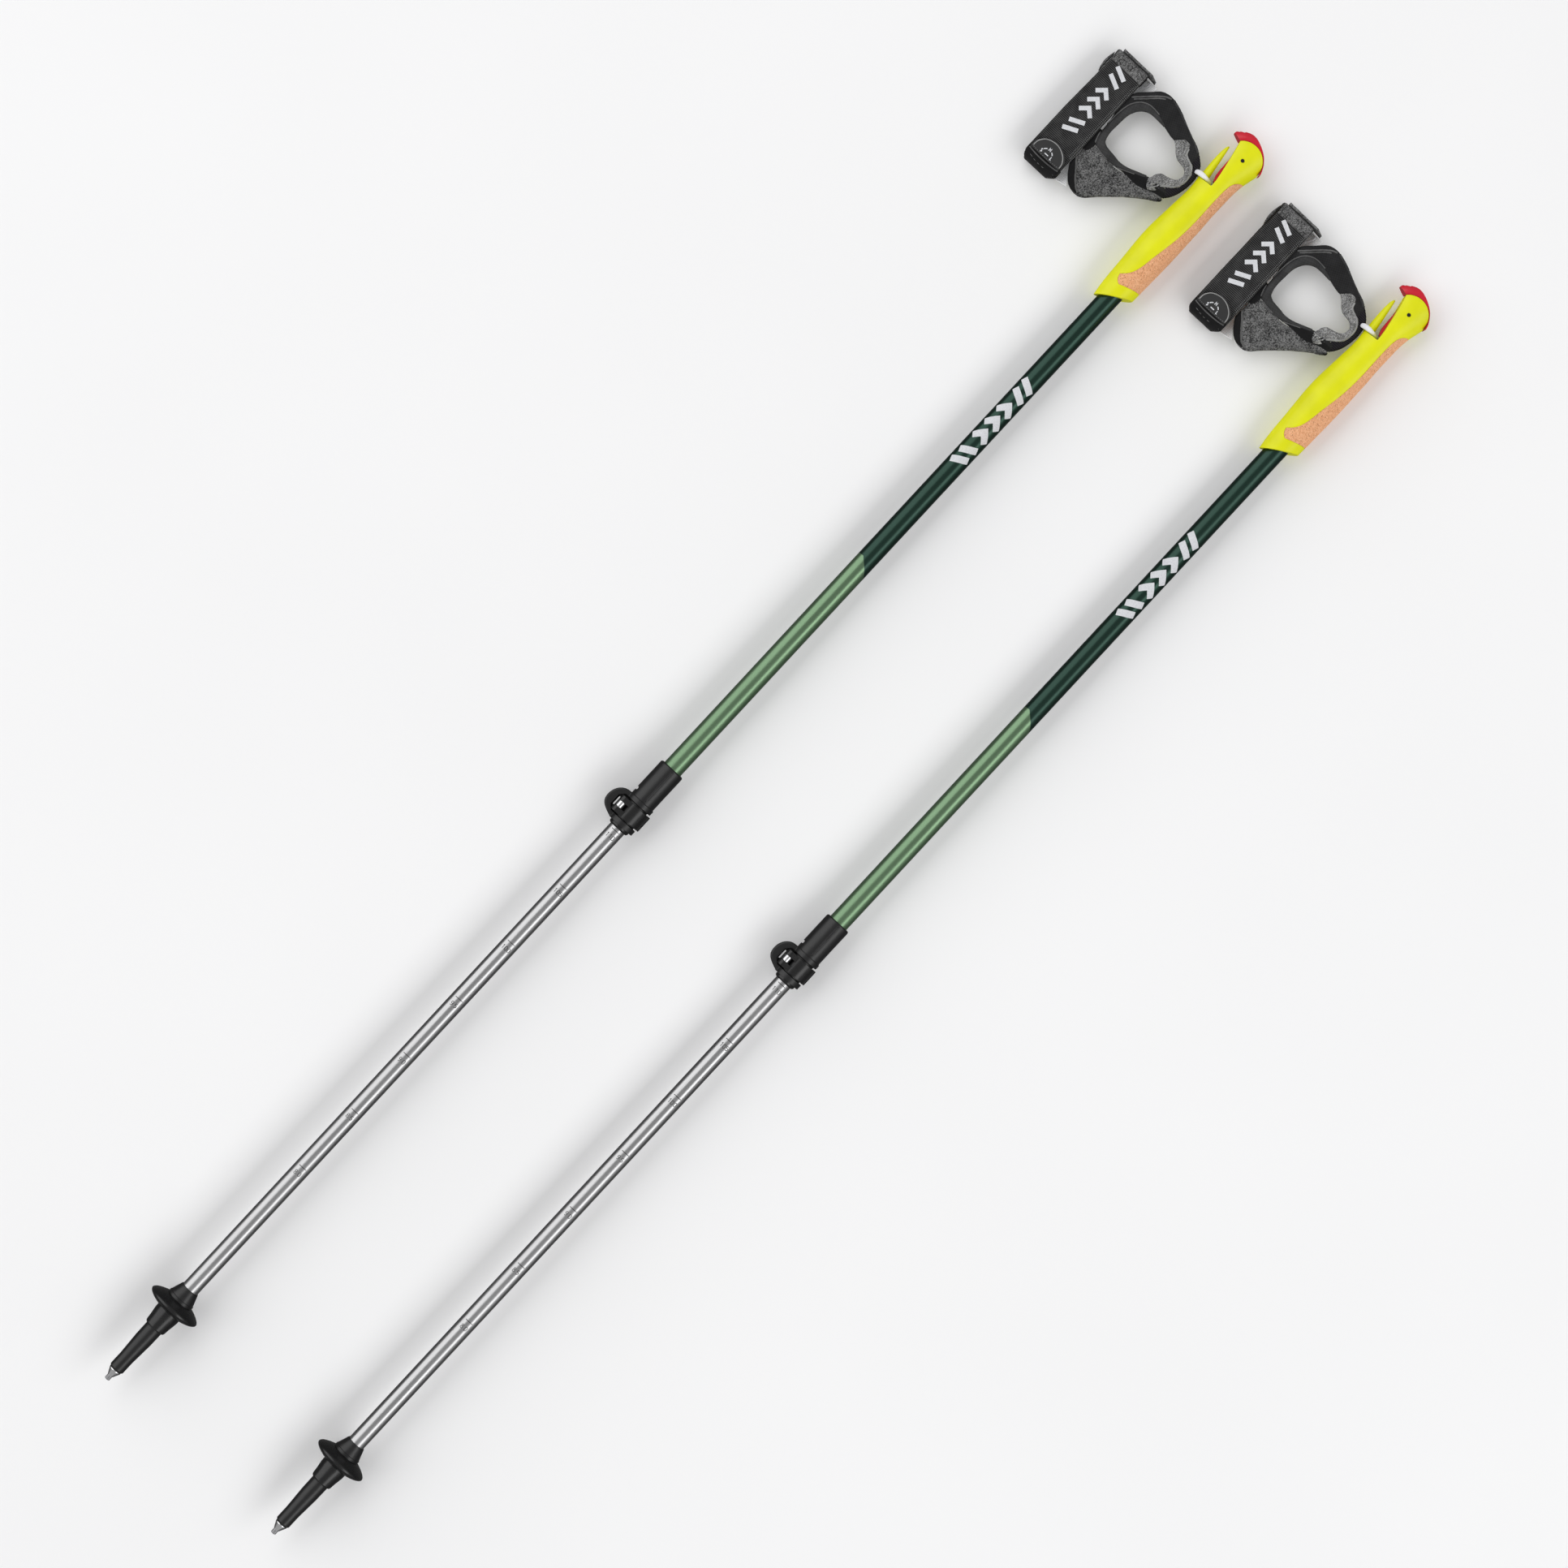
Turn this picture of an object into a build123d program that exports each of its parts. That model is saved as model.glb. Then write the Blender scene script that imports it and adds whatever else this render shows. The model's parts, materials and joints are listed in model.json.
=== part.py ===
"""A pair of two-section telescopic trekking poles, lying side by side on a floor.

Both poles are the same. One is modelled, and every piece of it is written twice, once for
each pole. Row frame: +X runs along the poles from tip to grip, +Y towards the side that the
wrist straps lie on, +Z up. The origin is the middle of the pair's footprint, on the floor.

A pole's own coordinates are (along, across, up): along is measured on its axis from the
carbide tip, across points to the strap, and up is square to both. Each pole rests on the rim
of its basket and on its grip, so its axis falls a little towards the grip.
"""

import os
from math import atan, cos, radians, sin

from build123d import *

os.makedirs("parts", exist_ok=True)

# ---------------------------------------------------------------- driving dimensions (mm)

pole_length = 1106.0  # carbide tip to the top of the trigger, set to the 110 cm mark
pole_spacing = 148.0  # between the two axes
strap_reach = 108.5  # from a pole's axis to the far edge of its strap
running_gap = 0.05  # radial clearance where one piece slides or turns in another
free_gap = 0.3  # clearance between pieces of different bodies that only pass each other

# Shafts
upper_radius = 7.0
upper_bore = 6.2
lower_radius = 6.0
lower_bore = 5.1
upper_start = 512.0
upper_end = 1058.0
lower_start = 66.0
lower_end = 575.0

# Tip and basket
carbide_radius = 1.9
carbide_end = 3.5
holder_end = 8.5
seat_radius = 5.25  # where a rubber walking pad is pushed on
seat_start = 9.8
seat_end = 18.8
shank_radius = 6.25
shank_end = 45.2
thread_radius = 7.1
basket_start = 46.0
basket_rim = 64.8
basket_radius = 19.1
basket_top = 70.2
cone_radius = 9.7
cone_narrow = 6.5
cone_end = 80.2

# Lever clamp
wiper_start = 490.4
clamp_start = 492.8
flange_length = 3.8
flange_radius = 9.9
collar_radius = 7.9
sleeve_start = 514.1
sleeve_end = 543.3
sleeve_radius = 9.2
lever_start = 497.6
lever_end = 509.4
lever_outer = 10.5
lever_thickness = 2.2
eye_width = 3.8
hub_across = 9.0  # the lever's pin, beside the tube and parallel to it
hub_up = 7.5
hub_radius = 3.3
eye_radius = 2.6  # the draw screw's eye, round the pin
screw_radius = 1.5
ear_reach = 12.3
slit = 1.6

# Grip
grip_rest = 1008.0  # the part of the grip that lies on the floor
grip_half_thickness = 12.0
shelf = 1061.3  # where the strap's ring sits, at the root of the beak
eye_along = 1087.3  # the trigger's pin
eye_across = -3.0
pin_radius = 1.2
dome_radius = 13.8
web_half = 2.6
cork_thickness = 2.5

pocket_radius = 3.6  # for the trigger's spring
pocket_depth = 3.8

# Strap ring
ring_wire = 1.35
ring_along = shelf + ring_wire + 0.7
ring_slot = 2.9  # the ring's limb in the slot
ring_outside = 14.6  # the ring's limb in the strap's webbing
ring_half_height = 7.0

# Strap, measured up from the floor
band_height = 16.0
band_wall = 2.0
band_near = 80.0
band_far = 106.7
band_low = 994.2
band_high = 1088.6
panel_bottom = 9.9
panel_thickness = 3.6

# ---------------------------------------------------------------- placing

tip_height = basket_radius
fall = atan((basket_radius - grip_half_thickness) / (grip_rest - basket_rim))
tip_x = -pole_length * cos(fall) / 2
first_y = (pole_spacing + basket_radius - strap_reach) / 2
pole_sides = {"a": first_y, "b": first_y - pole_spacing}

axis_direction = Vector(cos(fall), 0, -sin(fall))
base = Plane(
    origin=(tip_x, 0, tip_height + basket_rim * sin(fall)),
    x_dir=axis_direction,
    z_dir=(sin(fall), 0, cos(fall)),
)
pole_axis = Axis(base.origin, axis_direction)


def place(along, across=0.0, up=0.0):
    """A point of the pole, in the row frame."""
    return base.from_local_coords(Vector(along, across, up))


def lengthwise(up=0.0):
    """A plane through the pole: x along it, y to the strap side."""
    return Plane(origin=place(0, 0, up), x_dir=base.x_dir, z_dir=base.z_dir)


def crosswise(along):
    """A plane square to the pole: x to the strap side, y up."""
    return Plane(origin=place(along), x_dir=base.y_dir, z_dir=base.x_dir)


def floor_plane(height):
    """A level plane above the floor: x along the pole, y to the strap side."""
    return Plane(origin=(tip_x, 0, height))


def write_pair(name, piece):
    """Write one piece for each pole."""
    for side, y in pole_sides.items():
        copy = piece.part.moved(Location((0, y, 0)))
        copy.label = f"{name}_{side}"
        export_step(copy, f"parts/{name}_{side}.step")


# ---------------------------------------------------------------- tip and basket

flutes = 6

with BuildPart() as tip_insert:
    with BuildSketch(lengthwise()):
        with BuildLine():
            Polyline(
                (0.5, 0),
                (0, carbide_radius - 0.5),
                (0.4, carbide_radius),
                (carbide_end, carbide_radius),
                (7.0, 1.5),
                (7.0, 0),
                close=True,
            )
        make_face()
    revolve(axis=pole_axis)
    with BuildSketch(crosswise(-1)):
        with PolarLocations(carbide_radius + 0.25, flutes):
            Circle(0.6)
    extrude(amount=carbide_end + 0.5, mode=Mode.SUBTRACT)
write_pair("tip_insert", tip_insert)

with BuildPart() as tip_holder:
    with BuildSketch(lengthwise()):
        with BuildLine():
            Polyline(
                (carbide_end, 1.9),
                (carbide_end, 2.2),
                (holder_end - 0.6, 4.4),
                (holder_end, 4.4),
                (holder_end, 3.0),
                (15.0, 3.0),
                (15.0, 0),
                (7.0, 0),
                (7.0, 1.5),
                close=True,
            )
        make_face()
    revolve(axis=pole_axis)
write_pair("tip_holder", tip_holder)

# The plastic shank: its lower part takes a walking pad, its middle carries the basket's
# thread under the collar, and its upper cone holds the lower shaft.
with BuildPart() as tip_body:
    with BuildSketch(lengthwise()):
        with BuildLine():
            Polyline(
                (15.0, 0),
                (15.0, 3.0),
                (holder_end, 3.0),
                (holder_end, 4.3),
                (seat_start, seat_radius),
                (seat_end, seat_radius),
                (35.0, shank_radius - 0.1),
                (shank_end, shank_radius),
                (shank_end, thread_radius - 0.8),
                (basket_start + 2.0, thread_radius),
                (basket_top, thread_radius),
                (basket_top, cone_radius),
                (basket_top + 1.9, cone_radius),
                (basket_top + 2.2, cone_radius - 0.4),
                (cone_end - 0.8, cone_narrow + 0.4),
                (cone_end, cone_narrow),
                (cone_end, lower_radius),
                (lower_start, lower_radius),
                (lower_start, 0),
                close=True,
            )
        make_face()
    revolve(axis=pole_axis)
write_pair("tip_body", tip_body)

basket_bore = thread_radius + 0.1

with BuildPart() as basket:
    with BuildSketch(lengthwise()):
        with BuildLine():
            Polyline(
                (basket_rim, basket_bore),
                (basket_start, basket_bore),
                (basket_start + 0.8, basket_bore + 0.5),
                (basket_start + 5.5, 8.2),
                (56.5, 9.0),
                (60.4, 9.1),
            )
            Spline(
                (60.4, 9.1), (61.6, 14.5), (basket_rim, basket_radius), (68.1, 15.2), (basket_top, 9.9)
            )
            Polyline((basket_top, 9.9), (basket_top, basket_bore), (basket_rim, basket_bore))
        make_face()
    revolve(axis=pole_axis)
write_pair("basket", basket)

# ---------------------------------------------------------------- shafts


def tube(start, end, outer, inner):
    """A straight tube on the pole's axis, inside the builder that calls it."""
    with BuildSketch(crosswise(start)) as ring:
        Circle(outer)
        Circle(inner, mode=Mode.SUBTRACT)
    extrude(ring.sketch, amount=end - start)


with BuildPart() as lower_shaft:
    tube(lower_start, lower_end, lower_radius, lower_bore)
write_pair("lower_shaft", lower_shaft)

with BuildPart() as upper_shaft:
    tube(upper_start, upper_end, upper_radius, upper_bore)
write_pair("upper_shaft", upper_shaft)

# The plug at the top of the lower shaft, which runs in the upper one.
plug_length = 14.0
plug_stem = 18.0

with BuildPart() as guide_plug:
    tube(lower_end, lower_end + plug_length, upper_bore - running_gap, 3.0)
    tube(lower_end - plug_stem, lower_end, lower_bore, 3.0)
    chamfer(guide_plug.edges().group_by(Axis.X)[-1], 0.8)
write_pair("guide_plug", guide_plug)

# ---------------------------------------------------------------- lever clamp

flange_top = sleeve_start - flange_length + 0.3
clamp_middle = (lever_start + lever_end) / 2
guard_half_height = 4.5
guard_floor = -1.2  # the top of the bumper's floor, round the lower ear
guard_slot_length = 6.6
guard_slot_width = 1.0
notch_half_height = 5.0
notch_length = 2.2
notch_depth = 1.2
ear_top = hub_up - hub_radius - free_gap
ear_bottom = -5.3

# The bumper round the ears, which joins the two flanges
with BuildPart() as clamp_guard:
    with BuildSketch(lengthwise(-guard_half_height)):
        with BuildLine():
            Line((clamp_start, 6.9), (clamp_start, 9.0))
            Spline(
                (clamp_start, 9.0), (495.2, 15.0), (497.9, 18.6), (504.1, 20.0), (510.4, 17.6), (514.0, 9.3)
            )
            Polyline((514.0, 9.3), (514.0, 6.9), (clamp_start, 6.9))
        make_face()
    extrude(amount=2 * guard_half_height)
    fillet(clamp_guard.edges().filter_by(GeomType.BSPLINE), 1.2)
    guard_low = clamp_start + flange_length
    with BuildSketch(lengthwise(guard_floor)):
        with BuildLine():
            Polyline(
                (guard_low, 6.9),
                (guard_low, 11.2),
                (499.6, 14.2),
                (507.4, 14.2),
                (flange_top, 11.2),
                (flange_top, 6.9),
                close=True,
            )
        make_face()
    extrude(amount=guard_half_height - guard_floor, mode=Mode.SUBTRACT)
    with BuildSketch(lengthwise(-guard_half_height)):
        with Locations((clamp_middle, ear_reach + guard_slot_width / 2 + 0.2)):
            Rectangle(guard_slot_length, guard_slot_width)
    extrude(amount=2 * guard_half_height, mode=Mode.SUBTRACT)

with BuildPart() as clamp_housing:
    tube(clamp_start, clamp_start + flange_length, flange_radius, lower_radius + running_gap)
    tube(clamp_start + flange_length, flange_top, collar_radius, lower_radius + running_gap)
    tube(flange_top, upper_start, flange_radius, lower_radius + running_gap)
    tube(upper_start, sleeve_start, flange_radius, upper_radius)
    tube(sleeve_start, sleeve_end, sleeve_radius, upper_radius)
    fillet(clamp_housing.edges().group_by(Axis.X)[-1].sort_by(SortBy.LENGTH)[-1], 1.4)
    # two ears beside the tube, one each side of the slit
    with BuildSketch(lengthwise(ear_bottom)):
        with Locations((clamp_middle, (ear_reach + lower_radius + 0.8) / 2)):
            RectangleRounded(10.6, ear_reach - lower_radius - 0.8, 0.8)
    extrude(amount=ear_top - ear_bottom)
    add(clamp_guard.part)
    # the bore, clear of what the ears and the bumper added
    with BuildSketch(crosswise(clamp_start)):
        Circle(lower_radius + running_gap)
    extrude(amount=flange_top - clamp_start, mode=Mode.SUBTRACT)
    # the slit between the ears, through the collar's wall
    with BuildSketch(lengthwise(-slit / 2)):
        with Locations((clamp_middle, ear_reach / 2 + 2)):
            Rectangle(lever_end - lever_start + 1.4, ear_reach)
    extrude(amount=slit, mode=Mode.SUBTRACT)
    # the draw screw's hole through both ears
    with BuildSketch(lengthwise(ear_bottom)):
        with Locations((clamp_middle, hub_across)):
            Circle(screw_radius + 0.1)
    extrude(amount=ear_top - ear_bottom, mode=Mode.SUBTRACT)
    # a moulded groove along the sleeve, on top
    with BuildSketch(crosswise(sleeve_start + 2)):
        with Locations((-1.6, sleeve_radius)):
            Rectangle(1.2, 1.2)
    extrude(amount=sleeve_end - sleeve_start - 4, mode=Mode.SUBTRACT)
    # a notch at its side, above the bumper
    with BuildSketch(lengthwise(-notch_half_height)):
        with Locations((sleeve_start + 4.6, sleeve_radius)):
            Rectangle(notch_length, 2 * notch_depth)
    extrude(amount=2 * notch_half_height, mode=Mode.SUBTRACT)
write_pair("clamp_housing", clamp_housing)

with BuildPart() as clamp_wiper:
    with BuildSketch(lengthwise()):
        with BuildLine():
            Polyline(
                (clamp_start, lower_radius + 0.08),
                (wiper_start, lower_radius + 0.08),
                (wiper_start, 6.8),
                (wiper_start + 1.0, 7.7),
                (clamp_start, 7.7),
                close=True,
            )
        make_face()
    revolve(axis=pole_axis)
write_pair("clamp_wiper", clamp_wiper)

# The lever wraps over the tube from its pin to the far side. Its hub is forked round the
# eye of the draw screw.
lever_inner = lever_outer - lever_thickness
lever_from = 42  # degrees round the tube, from the strap side
lever_wrap = 146
lever_width = lever_end - lever_start
hub_plane = crosswise(lever_start)

with BuildPart() as clamp_lever:
    with BuildSketch(hub_plane):
        with BuildLine():
            outer_arc = CenterArc((0, 0), lever_outer, lever_from, lever_wrap)
            inner_arc = CenterArc((0, 0), lever_inner, lever_from, lever_wrap)
            Line(outer_arc @ 0, inner_arc @ 0)
            Line(outer_arc @ 1, inner_arc @ 1)
        make_face()
        with Locations((hub_across, hub_up)):
            Circle(hub_radius)
        # the web between hub and band
        with BuildLine():
            Polyline(
                (hub_across - 0.6, hub_up + hub_radius), (3.0, lever_outer - 0.6), (5.6, 7.0), close=True
            )
        make_face()
        # the thumb end
        with Locations((-lever_outer + 0.6, -3.2)):
            RectangleRounded(2.6, 5.0, 1.0)
    extrude(amount=lever_width)
    with BuildSketch(crosswise(clamp_middle - eye_width / 2 - 0.25)):
        with Locations((hub_across, hub_up)):
            Rectangle(2 * (hub_across - 3.0), 2 * hub_radius + 4)
    extrude(amount=eye_width + 0.5, mode=Mode.SUBTRACT)
    with BuildSketch(hub_plane):
        with Locations((hub_across, hub_up)):
            Circle(pin_radius + running_gap)
    extrude(amount=lever_width, mode=Mode.SUBTRACT)
write_pair("clamp_lever", clamp_lever)

with BuildPart() as clamp_pin:
    with BuildSketch(crosswise(lever_start + 0.4)):
        with Locations((hub_across, hub_up)):
            Circle(pin_radius)
    extrude(amount=lever_width - 0.8)
write_pair("clamp_pin", clamp_pin)

screw_bottom = -10.2

with BuildPart() as draw_screw:
    with BuildSketch(crosswise(clamp_middle - eye_width / 2)):
        with Locations((hub_across, hub_up)):
            Circle(eye_radius)
            Circle(pin_radius, mode=Mode.SUBTRACT)
    extrude(amount=eye_width)
    with BuildSketch(lengthwise(screw_bottom)):
        with Locations((clamp_middle, hub_across)):
            Circle(screw_radius)
    extrude(amount=hub_up - pin_radius - 0.6 - screw_bottom)
write_pair("draw_screw", draw_screw)

nut_height = 3.6
nut_radius = 2.9
nut_grooves = 12

with BuildPart() as draw_nut:
    with BuildSketch(lengthwise(ear_bottom - 0.1)):
        with Locations((clamp_middle, hub_across)):
            Circle(nut_radius)
            with PolarLocations(nut_radius + 0.2, nut_grooves):
                Circle(0.5, mode=Mode.SUBTRACT)
            Circle(screw_radius + running_gap, mode=Mode.SUBTRACT)
    extrude(amount=-nut_height)
write_pair("draw_nut", draw_nut)

# ---------------------------------------------------------------- grip

# Oval sections of the handle and its head: (along, front edge, back edge, half thickness)
grip_sections = [
    (948.0, 9.2, -11.6, 9.9),
    (963.0, 10.1, -12.3, 10.4),
    (979.0, 11.4, -13.0, 11.0),
    (994.0, 12.2, -13.4, 11.7),
    (grip_rest, 13.0, -13.7, grip_half_thickness),
    (1024.0, 12.6, -13.6, 11.8),
    (1040.0, 11.4, -13.4, 11.3),
    (1056.0, 10.7, -13.1, 10.9),
    (1070.0, 11.4, -13.4, 10.8),
    (1080.0, 12.0, -15.0, 10.6),
    (1088.0, 12.4, -17.0, 10.2),
    (1095.0, 12.4, -17.6, 9.0),
    (1103.0, 11.0, -16.0, 6.0),
]
# The same for the beak, which the strap's ring is pushed down over
beak_sections = [
    (1050.0, 9.9, 2.4, 6.4),
    (shelf, 11.2, 4.6, 5.0),
    (1068.0, 11.5, 5.3, 4.7),
    (1074.0, 11.8, 5.9, 4.4),
    (1080.0, 11.9, 6.7, 3.9),
    (1085.0, 11.7, 7.4, 3.3),
    (1088.4, 11.2, 8.4, 2.2),
    (1090.1, 10.4, 9.3, 0.9),
]
# Outlines seen from above: (across, along)
grip_reach = 30.0  # well outside the grip
head_front = [(0.9, shelf), (1.6, 1070.4), (3.2, 1079.0), (4.6, 1086.4), (7.9, 1100.0)]
slot_outline = [(-9.8, 1106), (-8.0, 1087), (-6.6, 1079), (-5.4, 1065.1), (5.2, 1065.1), (12, 1106)]
skirt_cut = [(14, 956.0), (-18, 975.3), (-18, 930), (14, 930)]


def loft_ovals(sections, inset=0.0):
    """A loft through oval sections, drawn in by an inset, in the builder that calls it."""
    ovals = []
    for along, front, back, half in sections:
        with BuildSketch(crosswise(along)) as oval:
            with Locations(((front + back) / 2, 0)):
                Ellipse((front - back) / 2 - inset, half - inset)
        ovals.append(oval.sketch)
    loft(ovals)


def flip(points):
    """Points written as (across, along), in a lengthwise plane's own order."""
    return [(along, across) for across, along in points]


def side_cut(points, half_height):
    """Cut out the shape with this outline, as seen from above, on both sides of the axis."""
    with BuildSketch(lengthwise(-half_height)) as outline:
        with BuildLine():
            Polyline(*flip(points), close=True)
        make_face()
    extrude(outline.sketch, amount=2 * half_height, mode=Mode.SUBTRACT)


cork_edge = [
    (-14.4, 1077.2),
    (-9.0, 1071.9),
    (-7.6, 1064.0),
    (-7.6, 1040.0),
    (-6.3, 1018.4),
    (-3.0, 998.4),
    (0.3, 985.0),
    (5.6, 979.3),
    (1.6, 973.3),
    (-12.9, 978.6),
]

with BuildPart() as cork_zone:
    with BuildSketch(lengthwise(-grip_reach)):
        with BuildLine():
            Spline(*flip(cork_edge[:8]))
            Spline(*flip([cork_edge[7], (4.2, 975.2), cork_edge[8]]))
            Line(*flip(cork_edge[8:10]))
            Polyline(*flip([cork_edge[9], (-24.0, 982.4), (-24.0, 1086.0), cork_edge[0]]))
        make_face()
    extrude(amount=2 * grip_reach)

with BuildPart() as grip_core:
    loft_ovals(grip_sections, cork_thickness)

with BuildPart() as grip_shell:
    loft_ovals(grip_sections)
    # the dome that the trigger's comb slides over
    with BuildSketch(lengthwise(-grip_reach)):
        with Locations((eye_along + grip_reach, 0)):
            Rectangle(2 * grip_reach, 2 * grip_reach)
        with Locations((eye_along, eye_across)):
            Circle(dome_radius, mode=Mode.SUBTRACT)
    extrude(amount=2 * grip_reach, mode=Mode.SUBTRACT)
    # the head's front face and the shelf under the ring
    with BuildSketch(lengthwise(-grip_reach)):
        with BuildLine():
            Spline(*flip(head_front))
            Polyline(*flip([head_front[-1], (grip_reach, 1110), (grip_reach, shelf), head_front[0]]))
        make_face()
    extrude(amount=2 * grip_reach, mode=Mode.SUBTRACT)
    # the oblique lower end
    side_cut(skirt_cut, grip_reach)
    # the beak in front of the slot
    loft_ovals(beak_sections)
    # the slot that the trigger's web and latch move in
    side_cut(slot_outline, web_half + free_gap)
    # the pin's hole, and the spring's pocket round it
    with BuildSketch(lengthwise(-grip_reach)):
        with Locations((eye_along, eye_across)):
            Circle(pin_radius)
    extrude(amount=2 * grip_reach, mode=Mode.SUBTRACT)
    with BuildSketch(lengthwise(web_half)):
        with Locations((eye_along, eye_across)):
            Circle(pocket_radius)
    extrude(amount=pocket_depth, mode=Mode.SUBTRACT)
    # the bore for the shaft
    with BuildSketch(crosswise(940)):
        Circle(upper_radius)
    extrude(amount=upper_end - 940, mode=Mode.SUBTRACT)
    # the recess for the cork
    add(cork_zone.part.cut(grip_core.part), mode=Mode.SUBTRACT)
write_pair("grip_shell", grip_shell)

with BuildPart() as grip_cork:
    loft_ovals(grip_sections)
    add(cork_zone.part, mode=Mode.INTERSECT)
    add(grip_core.part, mode=Mode.SUBTRACT)
write_pair("grip_cork", grip_cork)

# ---------------------------------------------------------------- trigger

comb_half = 5.6
comb_inner = dome_radius + free_gap
comb_back = 177.0  # degrees round the pin, from the strap side
comb_front = 43.0
comb_outer = [
    (-17.9, 1089.4),
    (-14.4, 1096.4),
    (-10.0, 1100.8),
    (-4.6, 1103.9),
    (1.5, 1105.9),
    (5.4, 1105.6),
]
web_outline = [
    (-8.4, 1100.4),
    (-7.0, 1087.0),
    (-4.0, 1080.0),
    (0.6, 1065.8),
    (2.0, 1066.0),
    (2.9, 1068.0),
    (3.7, 1070.4),
    (4.0, 1074.4),
    (4.2, 1080.4),
    (4.4, 1085.4),
    (4.0, 1092.0),
    (3.4, 1101.2),
]
comb_teeth = [(8.2, 1104.4), (8.7, 1103.3), (11.0, 1102.4), (11.6, 1101.5), (13.2, 1100.9), (13.5, 1098.8)]


def round_eye(radius, angle):
    """A point at this radius and angle round the trigger's pin, as (along, across)."""
    return (eye_along + radius * sin(radians(angle)), eye_across + radius * cos(radians(angle)))


# The comb is crowned: it narrows away from the pin
crown_base = 14.0
crown_rise = 7.0
eye_axis = Axis(place(eye_along, eye_across), base.z_dir)

with BuildPart() as comb_crown:
    with BuildSketch(Plane(origin=eye_axis.position, x_dir=base.x_dir, z_dir=-base.y_dir)):
        with Locations((crown_base / 2, 0)):
            Rectangle(crown_base, 2 * comb_half)
        with Locations((crown_base, 0)):
            Ellipse(crown_rise, comb_half)
    revolve(axis=eye_axis)

with BuildPart() as trigger_lever:
    with BuildSketch(lengthwise(-comb_half)):
        with BuildLine():
            back_corner = round_eye(comb_inner, comb_back)
            front_corner = round_eye(comb_inner, comb_front)
            Spline(*flip(comb_outer))
            Polyline(*flip([comb_outer[-1], *comb_teeth]), front_corner)
            ThreePointArc(front_corner, round_eye(comb_inner, 110), back_corner)
            Line(back_corner, flip(comb_outer)[0])
        make_face()
    extrude(amount=2 * comb_half)
    add(comb_crown.part, mode=Mode.INTERSECT)
    # the web through the head, and the latch that closes the slot over the ring
    with BuildSketch(lengthwise(-web_half)):
        with BuildLine():
            Polyline(*flip(web_outline), close=True)
        make_face()
        with Locations((eye_along, eye_across)):
            Circle(pin_radius + running_gap, mode=Mode.SUBTRACT)
    extrude(amount=2 * web_half)
write_pair("trigger_lever", trigger_lever)

eye_half_length = 10.35

with BuildPart() as trigger_pin:
    with BuildSketch(lengthwise(-eye_half_length)):
        with Locations((eye_along, eye_across)):
            Circle(pin_radius)
    extrude(amount=2 * eye_half_length)
write_pair("trigger_pin", trigger_pin)

spring_wire = 0.3
spring_pitch = 0.85
spring_turns = 3

with BuildPart() as trigger_spring:
    spring_foot = place(eye_along, eye_across, web_half + free_gap + spring_wire)
    with BuildLine() as coil:
        Helix(
            pitch=spring_pitch,
            height=spring_pitch * spring_turns,
            radius=2.5,
            center=spring_foot,
            direction=base.z_dir,
        )
    with BuildSketch(Plane(origin=coil.line @ 0, z_dir=coil.line % 0)):
        Circle(spring_wire)
    sweep(path=coil.line, is_frenet=True)
write_pair("trigger_spring", trigger_spring)

# ---------------------------------------------------------------- strap ring

ring_centre = (ring_slot + ring_outside) / 2
ring_half_width = (ring_outside - ring_slot) / 2

ring_plane = Plane(origin=place(ring_along, ring_centre), x_dir=base.y_dir, z_dir=base.x_dir)

with BuildSketch(ring_plane) as ring_oval:
    Ellipse(ring_half_width, ring_half_height)
ring_path = ring_oval.sketch.edges()[0]

with BuildPart() as loop_ring:
    with BuildSketch(Plane(origin=ring_path @ 0, z_dir=ring_path % 0)):
        Circle(ring_wire)
    sweep(path=ring_path)
write_pair("loop_ring", loop_ring)

# ---------------------------------------------------------------- wrist strap

webbing_eye_outer = 2.9
webbing_eye_hole = 1.8
webbing_eye_half = 2.2

# The frame round the thumb hole: the rim beside the band, the upper arm to the ring and the
# seam under the hole.
frame_outline = [
    (19.5, 1071.6),
    (24.0, 1075.2),
    (30.0, 1077.6),
    (43.0, 1083.2),
    (56.0, 1088.3),
    (66.0, 1087.4),
    (73.0, 1081.2),
    (79.6, 1074.0),
    (79.9, 1052.0),
    (79.6, 1034.0),
]
frame_hole = [
    (19.5, 1065.2),
    (23.6, 1066.4),
    (27.6, 1068.2),
    (38.0, 1068.2),
    (52.0, 1070.8),
    (62.0, 1070.8),
    (71.0, 1064.0),
    (73.6, 1050.0),
    (71.0, 1036.2),
]
seam_upper = [(62.0, 1034.2), (52.0, 1033.4), (42.0, 1037.2), (30.0, 1040.8), (18.6, 1041.2)]
seam_lower = [(18.6, 1035.8), (32.0, 1034.6), (46.0, 1031.4), (60.0, 1029.2), (72.0, 1031.0)]

with BuildPart() as strap_frame:
    with BuildSketch(floor_plane(panel_bottom)):
        with BuildLine():
            Spline(*flip(frame_outline))
            Line(*flip([frame_outline[-1], (75.0, 1030.6)]))
            Spline(*flip([(75.0, 1030.6), *reversed(seam_lower)]))
            Line(*flip([seam_lower[0], seam_upper[-1]]))
            Spline(*flip([*reversed(seam_upper), *reversed(frame_hole)]))
            Line(*flip([frame_hole[0], frame_outline[0]]))
        make_face()
    extrude(amount=panel_thickness)
write_pair("strap_frame", strap_frame)

palm_heel = [(79.8, 1010.6), (75.0, 1004.0), (69.0, 999.2), (62.0, 998.2), (56.0, 1001.0)]
palm_end = (19.6, 1031.8)

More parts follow.
